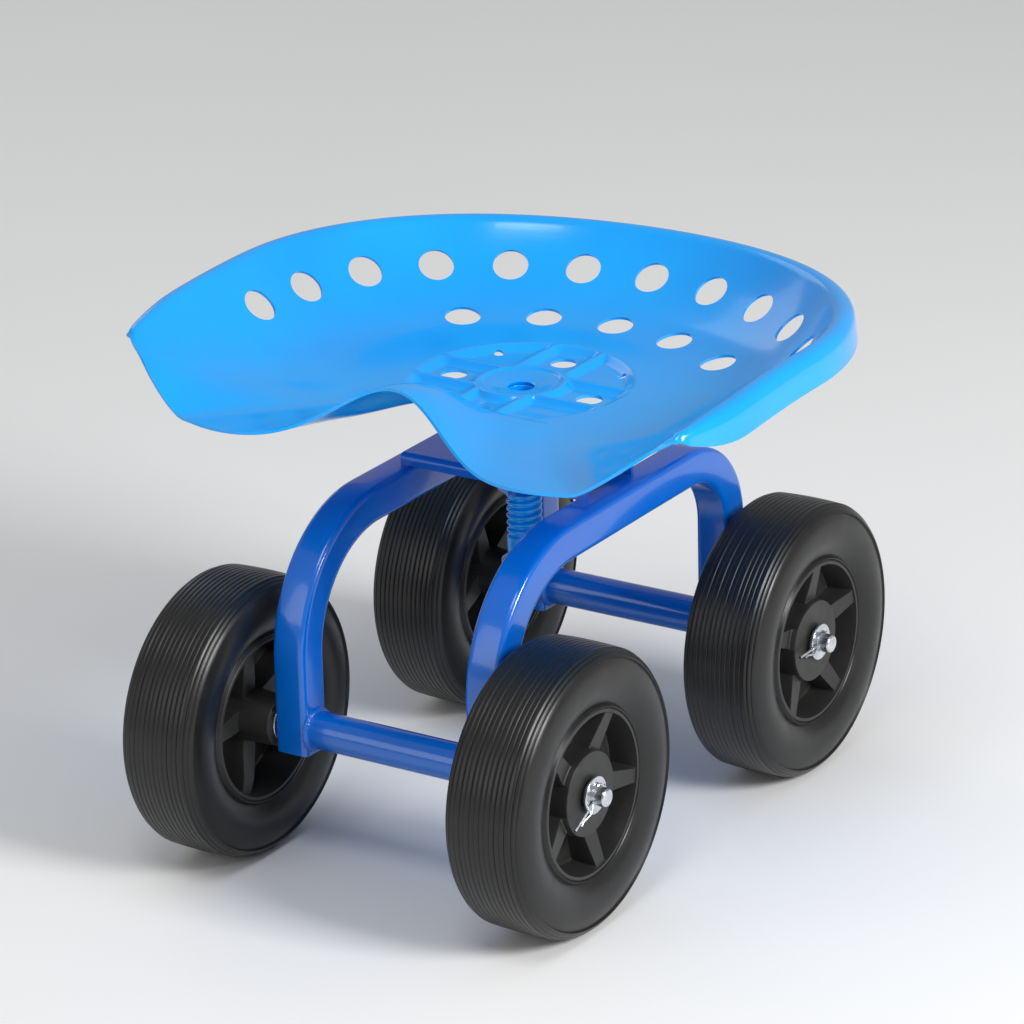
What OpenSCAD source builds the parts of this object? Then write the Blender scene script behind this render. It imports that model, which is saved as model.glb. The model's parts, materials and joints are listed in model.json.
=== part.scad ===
// Rolling garden seat: a pressed pan on a coarse screw, carried by two bent
// square-tube arches on two axles with four wheels. Sizes are in millimetres.
// +Z is up, the seat's front faces -Y, and the origin is on the ground midway
// between the four wheels. The seat is drawn part way up its screw.

/* [Wheels and track] */
// Outside radius of a tyre, which is also the height of the axles
wheel_r = 95.25; // [90:0.25:102]
// Width of a tyre over its sidewalls
tyre_w = 59; // [54:0.5:62]
// Distance between the left and right wheel centres
track = 250; // [244:1:264]
// Distance between the front and rear axles
wheelbase = 290; // [280:1:320]
// Radius of the hub barrel that the tyre sits on
hub_r = 56; // [52:0.5:60]
// Wall of the hub barrel
hub_wall = 4; // [3:0.25:5]
// Radius of the round boss on the hub's outer face
boss_r = 28; // [24:0.5:32]
// Spokes on each face of a hub
spokes = 5; // [3:1:7]
// Circumferential grooves in the tread
tread_grooves = 9; // [5:2:11]
// How far each wheel has rolled: front right, rear right, front left, rear left
wheel_turn = [-8, 16, 32, -24];

/* [Frame] */
// Height of the arches over the ground
arch_h = 238; // [232:1:250]
// Side of the square tube of the arches
tube = 25; // [22:0.5:27]
// Wall of the square tube
tube_wall = 1.6; // [1.2:0.1:2.5]
// Outside corner radius of the square tube
tube_corner = 4; // [3:0.25:5]
// Distance between the middles of the two arches
arch_gap = 149; // [146:0.5:150]
// Bend radius of an arch's front corner at the tube's middle
front_bend_r = 82.5; // [70:0.5:95]
// Bend radius of an arch's rear corner at the tube's middle
rear_bend_r = 55; // [45:0.5:75]
// How far a leg reaches below its axle
leg_below = 16.25; // [14:0.25:20]
// Outside radius of the round axle tubes
axle_tube_r = 12.7; // [11:0.1:14]
// Wall of the round axle tubes
axle_tube_wall = 1.6; // [1.2:0.1:2.5]
// Width of the cross channel, front to back
channel_w = 60; // [56:1:70]
// Depth of the cross channel
channel_depth = 8; // [7:0.25:12]
// Wall of the cross channel
channel_wall = 3; // [2:0.25:4]
// Length of the cross channel
channel_l = 144; // [140:1:150]
// How far the channel's middle lies behind the wheels' middle
channel_back = 7; // [4:0.5:10]

/* [Screw and nut] */
// How far the screw stands behind the wheels' middle
post_back = 15; // [12:0.5:18]
// Radius over the crests of the screw
thread_r = 12; // [11:0.25:12.5]
// Depth of the thread
thread_depth = 2.75; // [2:0.25:3]
// Rise of the screw in one turn
pitch = 5; // [4.5:0.5:6]
// Radius of the screw's own bore, tapped for the end bolt
screw_bore_r = 5.1; // [4.5:0.1:5.5]
// How far the seat can screw down from the drawn height
travel_down = 37.5; // [25:2.5:40]
// How far the seat can screw up from the drawn height
travel_up = 27.5; // [20:2.5:30]
// Length of the plain end that stops the screw in the nut
plain_end = 15.5; // [12:0.5:20]
// Width of the nut across its flats
nut_af = 32; // [30:0.5:36]
// Height of the nut
nut_h = 22; // [18:1:26]
// Radial gap between the screw's thread and the nut's
thread_gap = 0.35; // [0.3:0.05:0.4]
// Radius of the flange that is welded under the pan
flange_r = 38; // [34:0.5:42]
// Thickness of the flange
flange_t = 5; // [4:0.5:6]

/* [Axle hardware] */
// Radius of the axle rods
rod_r = 6.35; // [6:0.05:7]
// How far a rod stands out of its hub
rod_out = 11; // [10:0.5:14]
// Outside radius of the nylon bush in each hub
bush_r = 9; // [8.5:0.25:11]
// Outside radius of the washers on the axles
washer_r = 12.5; // [11.5:0.25:14]
// Thickness of the washers on the axles
washer_t = 1.8; // [1.5:0.1:2]
// Radius of the wire of the hairpin clips
wire_r = 1; // [0.8:0.05:1.25]
// Outside radius of the loose washer under the screw
stop_r = 16; // [15:0.5:18]
// Thickness of the loose washer under the screw
stop_t = 2.5; // [2:0.25:3]

/* [Seat pan] */
// Thickness of the seat's sheet metal
sheet = 2; // [1.5:0.25:2.5]
// Distance from the screw to each side wall
seat_half_w = 208; // [196:1:216]
// Distance from the screw to the back wall
back_reach = 191; // [181:1:201]
// Distance from the screw to the front edge at the pommel
pommel_reach = 149; // [142:1:158]
// Distance that the thigh lobes reach in front of the pommel
lobe_more = 35; // [26:1:40]
// Distance of each lobe's furthest point from the middle
lobe_x = 111; // [106:1:116]
// Height of the front edge at the pommel over the flat middle
pommel_rise = 40.5; // [34:0.5:47]
// Height of the front edge at the thigh troughs over the flat middle
thigh_rise = 5; // [2:0.5:9]
// Distance of each thigh trough's lowest edge from the middle
thigh_x = 155; // [140:1:165]
// Height of the wall at the front corners
corner_rise = 43.5; // [37:0.5:50]
// Height of the side walls
side_rise = 53; // [46:1:60]
// Height of the back wall
back_rise = 44.5; // [38:0.5:50]
// Outside radius of the rolled rim
rim_r = 8.3; // [7.5:0.1:10]
// Straight drop of the rim outside the roll
rim_drop = 15; // [11:0.5:20]
// Radius of the flat middle of the pan
flat_r = 81; // [79:0.5:84]
// Distance from the screw to the toe, where the pommel rises from the flat middle
toe_reach = 65; // [63:0.5:69]

/* [Stamped rosette and holes] */
// Depth of the stamped pockets
pocket_depth = 4.5; // [3:0.25:5.5]
// Radius to the outer wall of the pockets
pocket_r = 77.5; // [75:0.5:78]
// Run of the pockets' sloping walls, measured flat
pocket_slope = 2.5; // [1:0.25:3.5]
// Distance of the straight ribs' middles from the screw
rib_x = 27.5; // [26:0.5:30]
// Width of the ribs' tops
rib_w = 3; // [2:0.25:5]
// Outside radius of the raised ring round the centre hole
ring_r = 30.5; // [29:0.5:32]
// Radius of the recess inside the raised ring, at its top
recess_r = 27.5; // [26:0.5:28]
// Run of the recess's sloping wall, measured flat
recess_slope = 6; // [4:0.5:8]
// Depth of the recess inside the raised ring
recess_depth = 3.5; // [2:0.25:4.5]
// Radius of the centre hole
centre_hole_r = 8.8; // [8:0.1:9.5]
// Radius of the four large holes in the rosette
large_hole_r = 9; // [8:0.25:10]
// Distance of the large holes from the screw
large_hole_at = 52.7; // [50:0.1:56]
// Radius of the two small holes in the rosette
small_hole_r = 3.25; // [2.5:0.25:4]
// Distance of the small holes from each middle line
small_hole_at = 48; // [46:0.5:49]
// Radius of the vent holes in the bowl
vent_r = 12.2; // [10:0.1:13]

/* [Hidden] */
$fn = 64;

// Colours
seat_blue = [0.10, 0.48, 0.90];
frame_blue = [0.04, 0.20, 0.62];
zinc = [0.78, 0.79, 0.80];
rubber_black = [0.05, 0.05, 0.05];
plastic_black = [0.09, 0.09, 0.10];
nylon_black = [0.07, 0.07, 0.08];

// Overrun of every cut past the face that it starts from
overrun = 1;
// Radial gaps: rod in its bush, rod in a frame hole, bush or tyre on the hub
run_gap = 0.05;
hole_gap = 0.2;
seat_gap = 0.02;
// End play between pieces that turn past each other
end_play = 0.2;

// Axles, legs and arches
axle_z = wheel_r;
axle_y = wheelbase / 2;
arch_x = arch_gap / 2;
leg_z = axle_z - leg_below;
arch_mid_z = arch_h - tube / 2;
tube_hole = tube - 2 * tube_wall;
tube_hole_corner = tube_corner - tube_wall;

// Stack along one axle, measured outwards from the middle of the seat
leg_face_x = arch_x + tube / 2;
inner_washer_x = leg_face_x + end_play;
hub_in_x = inner_washer_x + washer_t + end_play;
hub_mid_x = track / 2;
rim_lip_share = 0.07;
rim_face = tyre_w / 2 - rim_lip_share * tyre_w;
hub_out_x = hub_mid_x + rim_face;
outer_washer_x = hub_out_x + end_play;
clip_x = outer_washer_x + washer_t + end_play + wire_r;
rod_end_x = hub_out_x + rod_out;
rod_dome_share = 0.3;
rod_dome_steps = 6;

// Hub: web and spoke places as shares of the tyre's width from its middle. The outer
// spokes' edges rise from the boss to the rim, and the barrel's inside narrows to the web
web_in_share = 0.03;
web_out_share = 0.10;
spoke_out_share = 0.31;
spoke_rim_share = 0.41;
spoke_in_share = 0.25;
barrel_draft_share = 0.05;
boss_back_share = 0.04;
spoke_root_share = 0.50;
spoke_tip_share = 0.17;
inner_boss_share = 0.60;
boss_chamfer_share = 0.04;

// Tyre: tread and sidewall as shares of the tyre's width and radius
tread_half_share = 0.34;
groove_depth_share = 0.014;
groove_half_share = 0.011;
crown_drop_share = 0.008;
shoulder_share = [[0.365, 0.030], [0.375, 0.018], [0.400, 0.020], [0.415, 0.038], [0.428, 0.030], [0.446, 0.042]];
bulge_r_share = 0.45;
bulge_mid_share = 0.79;
bulge_steps = 7;

// Cross channel and nut
channel_top = arch_h + channel_depth;
nut_top = channel_top - channel_wall;
nut_bottom = nut_top - nut_h;
channel_corner_share = 0.5;
screw_hole_gap = 0.8;

// Screw: the thread runs one turn past the nut at both ends of the travel
thread_seg = 20;
run_out = 0.5;
thread_low = nut_bottom - travel_up - pitch - run_out;
thread_high = nut_top + travel_down;
flange_low = thread_high + pitch + run_out;
screw_low = thread_low - run_out - plain_end;
root_r = thread_r - thread_depth;
// Thread form as shares of the pitch: root, rising flank, crest, falling flank
form_share = [0, 0.30, 0.50, 0.80];
flank_gap_share = 0.06;
pan_floor = sheet + pocket_depth;
seat_h = flange_low + flange_t + pan_floor;

// End bolt and loose washer
bolt_r = screw_bore_r - 2 * run_gap;
bolt_grip_share = 0.9;
bolt_af_share = 1.7;
bolt_head_share = 0.64;
stop_top = screw_low - end_play;
bolt_head_top = stop_top - stop_t - end_play;

// Hairpin clip: leg, loop and bow in the plane across the rod
clip_reach_share = 4.2;
clip_tail_share = 2.0;
clip_turn = [206, 180, 20, 340];
loop_share = 2.6;
clip_fillet_share = 0.6;
clip_flare = 35;
clip_steps = 8;
clip_sides = 8;

// Seat pan: the corner lies where the waved front edge meets the side line, and
// the higher its sharpness, the smaller the fillet that joins the two
front_cols = 26;
corner_cols = 6;
back_cols = 44;
wall_rows = 8;
roll_rows = 5;
front_steps = 14;
wall_ease = 1.3;
corner_sharpness = 32;
corner_half = 6;
front_curve = 1.65;
side_curve = 3.6;
back_curve = 2.9;
pommel_curve = 3.2;
corner_curve = 1.2;
side_from = 30;
side_to = 70;
back_from = 95;
back_to = 170;
// The pommel's section is round: it leaves the toe at once and ends level
pommel_from = 24;
pommel_to = 46;
toe_ease = 0.08;
// The roll's turn grows first, then its radius and drop, from the front to the side
roll_from = 48;
roll_full = 66;
roll_least_share = 0.34;
roll_turn_share = 0.3;
rim_end = -84;
lap_share = 0.03;
lap = lap_share * flat_r;
disc_r = flat_r - lap / 2;
corner_a = atan2(seat_half_w, front_y(seat_half_w));

// Vent holes: angle step from the back, how much each step falls short of the one
// before, and the share of the way to the wall
outer_vents = 6;
outer_step = 17.8;
outer_less = 0.24;
outer_share = [0.876, 0.876, 0.880, 0.891, 0.902, 0.904, 0.910];
inner_vents = 2;
inner_step = 25;
inner_share = [0.623, 0.629, 0.655];

// Easing and mixing
function ease(lo, hi, v) = let (t = min(max((v - lo) / (hi - lo), 0), 1)) t * t * (3 - 2 * t);
function mix(a, b, t) = a + (b - a) * t;

// Distance of the front edge in front of the screw, at a distance x from the middle
function front_y(x) = pommel_reach + lobe_more * (1 - cos(180 * min(x, 2 * lobe_x) / lobe_x)) / 2;

// Place where the ray at angle a from the front meets the front edge, by halving the error
function front_x(a, x, n) =
    n == 0 ? x : front_x(a, (x + min(front_y(x) * tan(a), 2 * seat_half_w)) / 2, n - 1);

// Plan distance from the screw to the top of the wall, side line then half ellipse
function side_reach(a) =
    a < 90 ? seat_half_w / sin(a)
           : 1 / sqrt(pow(sin(a) / seat_half_w, 2) + pow(cos(a) / back_reach, 2));
function front_reach(a) =
    front_y(front_x(a, min(seat_half_w * a / corner_a, seat_half_w), front_steps)) / cos(a);
// The nearer of two distances, rounded off where they are equal
function rounded_min(u, v) =
    let (near = min(u, v), far = max(u, v))
    near * pow(1 + pow(near / far, corner_sharpness), -1 / corner_sharpness);
function fold(a) = a > 180 ? 360 - a : a;
function reach(a) =
    let (b = abs(fold(a)))
    b < corner_a / 2 ? front_reach(b)
    : b < 90 ? rounded_min(front_reach(b), side_reach(b))
    : side_reach(b);
// Distance from the screw to the edge of the flat middle, cut straight at the toe
function flat_reach(a) =
    let (b = abs(fold(a)))
    b < 90 ? min(flat_r, toe_reach / cos(b)) : flat_r;

// Height of the wall or front edge over the flat middle
function front_rise(x) =
    let (u = min(x / thigh_x, 1),
         w = max((x - thigh_x) / (seat_half_w - thigh_x), 0))
    thigh_rise + (pommel_rise - thigh_rise) * pow((1 + cos(180 * u)) / 2, pommel_curve)
    + (corner_rise - thigh_rise) * pow(w, corner_curve);
function side_wall_rise(a) =
    a < 90 ? mix(corner_rise, side_rise, sin(90 * min(max(1 - reach(a) * cos(a) / pommel_reach, 0), 1)))
           : mix(back_rise, side_rise, pow(sin(a), 2));
function rise(a) =
    let (b = abs(fold(a)))
    b < corner_a ? front_rise(min(reach(b) * sin(b), seat_half_w)) : side_wall_rise(b);

// Power of the bowl's section, gentle at the front and steep at the sides
function curve(a) =
    let (b = abs(fold(a)))
    mix(front_curve, side_curve, ease(side_from, side_to, b))
    + (back_curve - side_curve) * ease(back_from, back_to, b);

// Share of the full rise at a share t of the way out: a power, and at the pommel
// the round section that a parabola from its level top gives, eased at the toe
function rise_share(a, t) =
    let (p = 1 - ease(pommel_from, pommel_to, abs(fold(a))),
         s = t * t * (1 + toe_ease) / (t + toe_ease))
    mix(pow(t, curve(a)), 1 - pow(1 - s, 2), p);

// Point of the bowl's upper face at angle a and share t of the way out
function wall_point(a, t) =
    let (r = mix(flat_reach(a), reach(a), t))
    [r * sin(a), -r * cos(a), rise(a) * rise_share(a, max(t, 0))];

// Upward unit normal of the bowl, from short steps of angle and share
normal_step = 0.2;
normal_share = 0.01;
function unit(v) = v / norm(v);
function wall_normal(a, t) =
    let (across = wall_point(a + normal_step, t) - wall_point(a - normal_step, t),
         out = wall_point(a, t) - wall_point(a, t - normal_share))
    t <= 0 ? [0, 0, 1] : unit(cross(out, across));

// Size of the rolled rim round the seat, none along the front edge, and its radius
function roll_size(a) = ease(roll_from, roll_full, fold(a));
function roll_r(a) = rim_r * mix(roll_least_share, 1, roll_size(a));

// Plan normal of the rim, outwards
function plan_point(a) = reach(a) * [sin(a), -cos(a)];
function rim_normal(a) =
    let (d = plan_point(a + normal_step) - plan_point(a - normal_step))
    [d[1], -d[0]] / norm(d);

// Slope of the wall at its top, seen along the rim's normal
function rim_slope(a) =
    let (n = rim_normal(a), e = [sin(a), -cos(a)])
    atan(curve(a) * rise(a) / (reach(a) - flat_reach(a)) / (n * e));
function roll_end(a) = mix(rim_slope(a), rim_end, min(roll_size(a) / roll_turn_share, 1));

// Point of the roll where its face has turned to angle g, on a radius r about its centre
function roll_point(a, g, r) =
    let (n = rim_normal(a), s = rim_slope(a), p = wall_point(a, 1), big = roll_r(a),
         side = big * sin(s) - r * sin(g), up = r * cos(g) - big * cos(s))
    [p[0] + n[0] * side, p[1] + n[1] * side, p[2] + up];

// One column of the pan's upper face (depth 0) or lower face (depth = sheet)
function wall_share(i) = 1 - pow(1 - i / wall_rows, wall_ease);
function pan_column(a, depth) =
    let (has_roll = roll_size(a) > 0,
         r = flat_reach(a) - lap,
         inner = [r * sin(a), -r * cos(a), -depth],
         big = roll_r(a) - depth,
         drop = rim_drop * roll_size(a),
         end = roll_end(a),
         last = roll_point(a, end, big),
         n = has_roll ? rim_normal(a) : [0, 0])
    concat([inner],
           [for (i = [0 : wall_rows - (has_roll ? 1 : 0)])
                wall_point(a, wall_share(i)) - depth * wall_normal(a, wall_share(i))],
           has_roll ? [for (i = [0 : roll_rows]) roll_point(a, mix(rim_slope(a), end, i / roll_rows), big)]
                    : [],
           has_roll ? [last + drop * [n[0] * cos(end), n[1] * cos(end), sin(end)]] : []);

// Angles of the columns: along the front, close together round each corner, and
// round the back
function spread(from, to, n) = [for (i = [0 : n - 1]) mix(from, to, i / n)];
corner_low = corner_a - corner_half;
corner_high = corner_a + corner_half;
pan_angles = [for (a = concat(spread(-corner_low, corner_low, front_cols),
                              spread(corner_low, corner_high, corner_cols),
                              spread(corner_high, 360 - corner_high, back_cols),
                              spread(360 - corner_high, 360 - corner_low, corner_cols)))
              a < 0 ? a + 360 : a];
col_count = len(pan_angles);
row_count = wall_rows + roll_rows + 3;

// The full columns are padded by repeating their last point; indexes then merge the repeats
function top_len(j) = roll_size(pan_angles[j]) > 0 ? row_count : wall_rows + 2;
col_start = [for (j = 0, s = 0; j <= col_count; s = s + (j < col_count ? top_len(j) : 0), j = j + 1) s];
function at(j, i) = let (k = j % col_count) col_start[k] + min(i, top_len(k) - 1);
function tri(a, b, c) = a == b || b == c || a == c ? [] : [[a, b, c]];
function quad(a, b, c, d) = concat(tri(a, b, c), tri(a, c, d));
function flat_list(v) = [for (x = v) for (y = x) y];

module pan_bowl() {
    side_pts = col_start[col_count];
    top = flat_list([for (a = pan_angles) pan_column(a, 0)]);
    low = flat_list([for (a = pan_angles) pan_column(a, sheet)]);
    faces = flat_list([for (j = [0 : col_count - 1]) for (i = [0 : row_count - 2])
        concat(quad(at(j, i), at(j + 1, i), at(j + 1, i + 1), at(j, i + 1)),
               quad(side_pts + at(j, i), side_pts + at(j, i + 1),
                    side_pts + at(j + 1, i + 1), side_pts + at(j + 1, i)))]);
    edges = flat_list([for (j = [0 : col_count - 1])
        concat(quad(at(j, 0), side_pts + at(j, 0), side_pts + at(j + 1, 0), at(j + 1, 0)),
               quad(at(j, row_count), at(j + 1, row_count),
                    side_pts + at(j + 1, row_count), side_pts + at(j, row_count)))]);
    polyhedron(concat(top, low), concat(faces, edges));
}

// Disc cut straight across at the toe side, from its bottom up to its top
module toe_disc(r, toe, low, h) {
    translate([0, 0, low]) linear_extrude(h) intersection() {
        circle(r = r);
        translate([-r, -toe]) square([2 * r, toe + r]);
    }
}

// Straight ribs that cross the rosette beside the ring, widening down to the pocket floors
module rib_lines() {
    profile = [[-rib_w / 2 - pocket_slope, -pan_floor], [rib_w / 2 + pocket_slope, -pan_floor],
               [rib_w / 2 + pocket_slope, -pocket_depth], [rib_w / 2, 0], [-rib_w / 2, 0],
               [-rib_w / 2 - pocket_slope, -pocket_depth]];
    for (s = [-1, 1]) for (turn = [0, 90]) rotate(turn) translate([s * rib_x, flat_r, 0])
        rotate([90, 0, 0]) linear_extrude(2 * flat_r) polygon(profile);
}

// The rosette: floor, outer wall, ribs and ring inside one disc
module rosette() {
    floor_h = pan_floor - pocket_depth;
    toe = toe_reach - lap / 2;
    wall = disc_r - pocket_r;
    toe_disc(disc_r, toe, -pan_floor, floor_h);
    difference() {
        toe_disc(disc_r, toe, -pan_floor, pan_floor);
        rotate_extrude() polygon([[0, -pan_floor - overrun], [pocket_r - pocket_slope, -pan_floor - overrun],
                                  [pocket_r - pocket_slope, -pocket_depth], [pocket_r, 0],
                                  [pocket_r, overrun], [0, overrun]]);
    }
    intersection() {
        toe_disc(disc_r, toe, -pan_floor, pan_floor);
        translate([-disc_r, -toe, 0]) rotate([90, 0, 90]) linear_extrude(2 * disc_r)
            polygon([[0, -pan_floor], [wall / 2 + pocket_slope, -pan_floor],
                     [wall / 2 + pocket_slope, -pocket_depth], [wall / 2, 0], [0, 0]]);
    }
    intersection() {
        toe_disc(disc_r, toe, -pan_floor, pan_floor);
        difference() {
            union() {
                rib_lines();
                rotate_extrude() polygon([[0, -pan_floor], [ring_r + pocket_slope, -pan_floor],
                                          [ring_r + pocket_slope, -pocket_depth], [ring_r, 0], [0, 0]]);
            }
            rotate_extrude() polygon([[0, -recess_depth], [recess_r - recess_slope, -recess_depth],
                                      [recess_r, 0], [recess_r, overrun], [0, overrun]]);
        }
    }
}

// A drill square to the bowl at angle a from the front and share t of the way out
module vent(a, t) {
    p = wall_point(a, t);
    n = wall_normal(a, t);
    translate(p) rotate([0, acos(n[2]), atan2(n[1], n[0])])
        cylinder(r = vent_r, h = 4 * sheet, center = true);
}

// Share between the flat middle and the wall at which a share of the whole reach lies
function wall_part(a, whole) = (whole * reach(a) - flat_reach(a)) / (reach(a) - flat_reach(a));

module seat_pan() {
    color(seat_blue) translate([0, post_back, seat_h]) difference() {
        union() {
            pan_bowl();
            rosette();
        }
        for (i = [-outer_vents : outer_vents]) let (a = 180 + i * (outer_step - outer_less * abs(i)))
            vent(a, wall_part(a, outer_share[abs(i)]));
        for (i = [-inner_vents : inner_vents]) let (a = 180 + i * inner_step)
            vent(a, wall_part(a, inner_share[abs(i)]));
        translate([0, 0, -pan_floor - overrun]) {
            cylinder(r = centre_hole_r, h = pan_floor + 2 * overrun);
            for (q = [0 : 3]) rotate(90 * q) translate([large_hole_at, 0])
                cylinder(r = large_hole_r, h = pan_floor + 2 * overrun);
            for (s = [-1, 1]) translate([s * small_hole_at, small_hole_at])
                cylinder(r = small_hole_r, h = pan_floor + 2 * overrun);
        }
    }
}

module seat_flange() {
    color(seat_blue) translate([0, post_back, flange_low]) difference() {
        cylinder(r = flange_r, h = flange_t);
        translate([0, 0, -overrun]) cylinder(r = centre_hole_r, h = flange_t + 2 * overrun);
    }
}

// A solid with a helical outer face: radii and places of the form, height low to high,
// an end face at each end and, if bore is over zero, a hole down its middle
module helical(radii, places, low, high, end_low, end_high, end_low_r, end_high_r, bore) {
    seg = thread_seg;
    k = len(radii);
    steps = floor((high - low) / pitch * seg);
    function ring(r, z) = [for (j = [0 : seg - 1]) [r * cos(360 * j / seg), r * sin(360 * j / seg), z]];
    // Helix points: index i * k + f, and the first form point for one more turn
    helix = [for (i = [0 : steps + seg]) for (f = [0 : k - 1])
        let (a = 360 * i / seg, z = low + pitch * (i / seg + places[f]))
        [radii[f] * cos(a), radii[f] * sin(a), z]];
    count = len(helix);
    pts = concat(helix, ring(end_low_r, low - run_out), ring(end_low_r, end_low),
                 ring(end_high_r, end_high), ring(bore, end_low), ring(bore, end_high));
    function h(i, f) = f == k ? (i + seg) * k : i * k + f;
    function b(j) = count + j % seg;
    function e(j) = count + seg + j % seg;
    function t(j) = count + 2 * seg + j % seg;
    function bi(j) = count + 3 * seg + j % seg;
    function ti(j) = count + 4 * seg + j % seg;
    sides = [for (i = [0 : steps - 1]) for (f = [0 : k - 1])
        each quad(h(i, f), h(i, f + 1), h(i + 1, f + 1), h(i + 1, f))];
    under = [for (i = [0 : seg - 2]) each quad(b(i), h(i, 0), h(i + 1, 0), b(i + 1))];
    under_seam = concat([[b(seg - 1), h(seg - 1, 0), h(seg, 0)]],
        [for (f = [0 : k - 1]) [b(seg - 1), h(0, f + 1), h(0, f)]],
        [[b(seg - 1), h(0, 0), b(0)]]);
    over = [for (i = [steps + 1 : steps + seg - 1]) each quad(h(i, 0), t(i), t(i + 1), h(i + 1, 0))];
    over_seam = concat([[t(steps + 1), h(steps + 1, 0), h(steps, 0)]],
        [for (f = [0 : k - 1]) [t(steps + 1), h(steps, f), h(steps, f + 1)]],
        [[t(steps + 1), h(steps + seg, 0), t(steps)]]);
    plain = [for (j = [0 : seg - 1]) each quad(e(j), b(j), b(j + 1), e(j + 1))];
    caps = bore > 0
        ? [for (j = [0 : seg - 1]) each concat(
              quad(bi(j), e(j), e(j + 1), bi(j + 1)),
              quad(t(j), ti(j), ti(j + 1), t(j + 1)),
              quad(bi(j), bi(j + 1), ti(j + 1), ti(j)))]
        : [[for (j = [0 : seg - 1]) e(j)], [for (j = [seg - 1 : -1 : 0]) t(j)]];
    polyhedron(pts, concat(sides, under, under_seam, over, over_seam, plain, caps));
}

module screw_post() {
    color(seat_blue) translate([0, post_back])
        helical([root_r, root_r, thread_r, thread_r], form_share, thread_low, thread_high,
                screw_low, flange_low, thread_r, thread_r, screw_bore_r);
}

// Hexagon of a given width across its flats
module hexagon(af, h) {
    cylinder(r = af / 2 / cos(30), h = h, $fn = 6);
}

// The nut's thread is the screw's own form opened by the thread gap, cut as a tap
module screw_nut() {
    g = flank_gap_share;
    below = pitch * floor((nut_bottom - thread_low) / pitch - 1);
    color(frame_blue) translate([0, post_back]) difference() {
        translate([0, 0, nut_bottom]) hexagon(nut_af, nut_h);
        helical([root_r, root_r, thread_r, thread_r] + [for (i = [0 : 3]) thread_gap],
                form_share + [g, -g, -g, g], thread_low + below, nut_top + pitch,
                thread_low + below - pitch, nut_top + 3 * pitch,
                root_r + thread_gap, root_r + thread_gap, 0);
    }
}

module end_bolt() {
    head_h = bolt_head_share * 2 * bolt_r;
    color(zinc) translate([0, post_back, bolt_head_top]) {
        translate([0, 0, -head_h]) hexagon(bolt_af_share * 2 * bolt_r, head_h);
        cylinder(r = bolt_r, h = end_play + stop_t + end_play + bolt_grip_share * plain_end);
    }
}

module stop_washer() {
    color(zinc) translate([0, post_back, stop_top - stop_t]) difference() {
        cylinder(r = stop_r, h = stop_t);
        translate([0, 0, -overrun]) cylinder(r = bolt_r + hole_gap, h = stop_t + 2 * overrun);
    }
}

// Section of the cross channel: a web with rounded shoulders and two short sides
module channel_section() {
    c = channel_corner_share * channel_depth;
    inner_w = channel_w - 2 * channel_wall;
    inner_depth = channel_depth - channel_wall;
    difference() {
        union() {
            translate([-channel_w / 2, 0]) square([channel_w, channel_depth - c]);
            translate([-channel_w / 2 + c, 0]) square([channel_w - 2 * c, channel_depth]);
            for (s = [-1, 1]) translate([s * (channel_w / 2 - c), channel_depth - c]) circle(r = c);
        }
        translate([-inner_w / 2, -overrun]) square([inner_w, inner_depth + overrun]);
    }
}

module cross_channel() {
    color(frame_blue) difference() {
        translate([-channel_l / 2, channel_back, arch_h]) rotate([90, 0, 90])
            linear_extrude(channel_l) channel_section();
        translate([0, post_back, arch_h]) cylinder(r = thread_r + screw_hole_gap, h = channel_depth + overrun);
    }
}

// Square section with rounded corners
module round_square(side, corner) {
    inset = side / 2 - corner;
    square([side, side - 2 * corner], center = true);
    square([side - 2 * corner, side], center = true);
    for (x = [-inset, inset]) for (y = [-inset, inset]) translate([x, y]) circle(r = corner);
}

// The arch's path: leg, bend, top bar, bend, leg, in one plane across X
module arch_path(side, corner, extra) {
    front_z = arch_mid_z - front_bend_r;
    rear_z = arch_mid_z - rear_bend_r;
    translate([0, -axle_y, leg_z - extra]) linear_extrude(front_z - leg_z + extra) round_square(side, corner);
    translate([0, axle_y, leg_z - extra]) linear_extrude(rear_z - leg_z + extra) round_square(side, corner);
    translate([0, -axle_y + front_bend_r, arch_mid_z]) rotate([-90, 0, 0])
        linear_extrude(wheelbase - front_bend_r - rear_bend_r) round_square(side, corner);
    translate([0, -axle_y + front_bend_r, front_z]) rotate([90, 0, -90])
        rotate_extrude(angle = 90) translate([front_bend_r, 0]) round_square(side, corner);
    translate([0, axle_y - rear_bend_r, rear_z]) rotate([90, 0, 90])
        rotate_extrude(angle = 90) translate([rear_bend_r, 0]) round_square(side, corner);
}

module arch(x) {
    color(frame_blue) difference() {
        translate([x, 0]) arch_path(tube, tube_corner, 0);
        translate([x, 0]) arch_path(tube_hole, tube_hole_corner, overrun);
        for (s = [-1, 1]) translate([x, s * axle_y, axle_z]) rotate([0, 90, 0])
            cylinder(r = rod_r + hole_gap, h = tube + 2 * overrun, center = true);
    }
}

module axle_tube(y) {
    color(frame_blue) translate([0, y, axle_z]) rotate([0, 90, 0]) difference() {
        cylinder(r = axle_tube_r, h = arch_gap - tube, center = true);
        cylinder(r = axle_tube_r - axle_tube_wall, h = arch_gap, center = true);
    }
}

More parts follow.
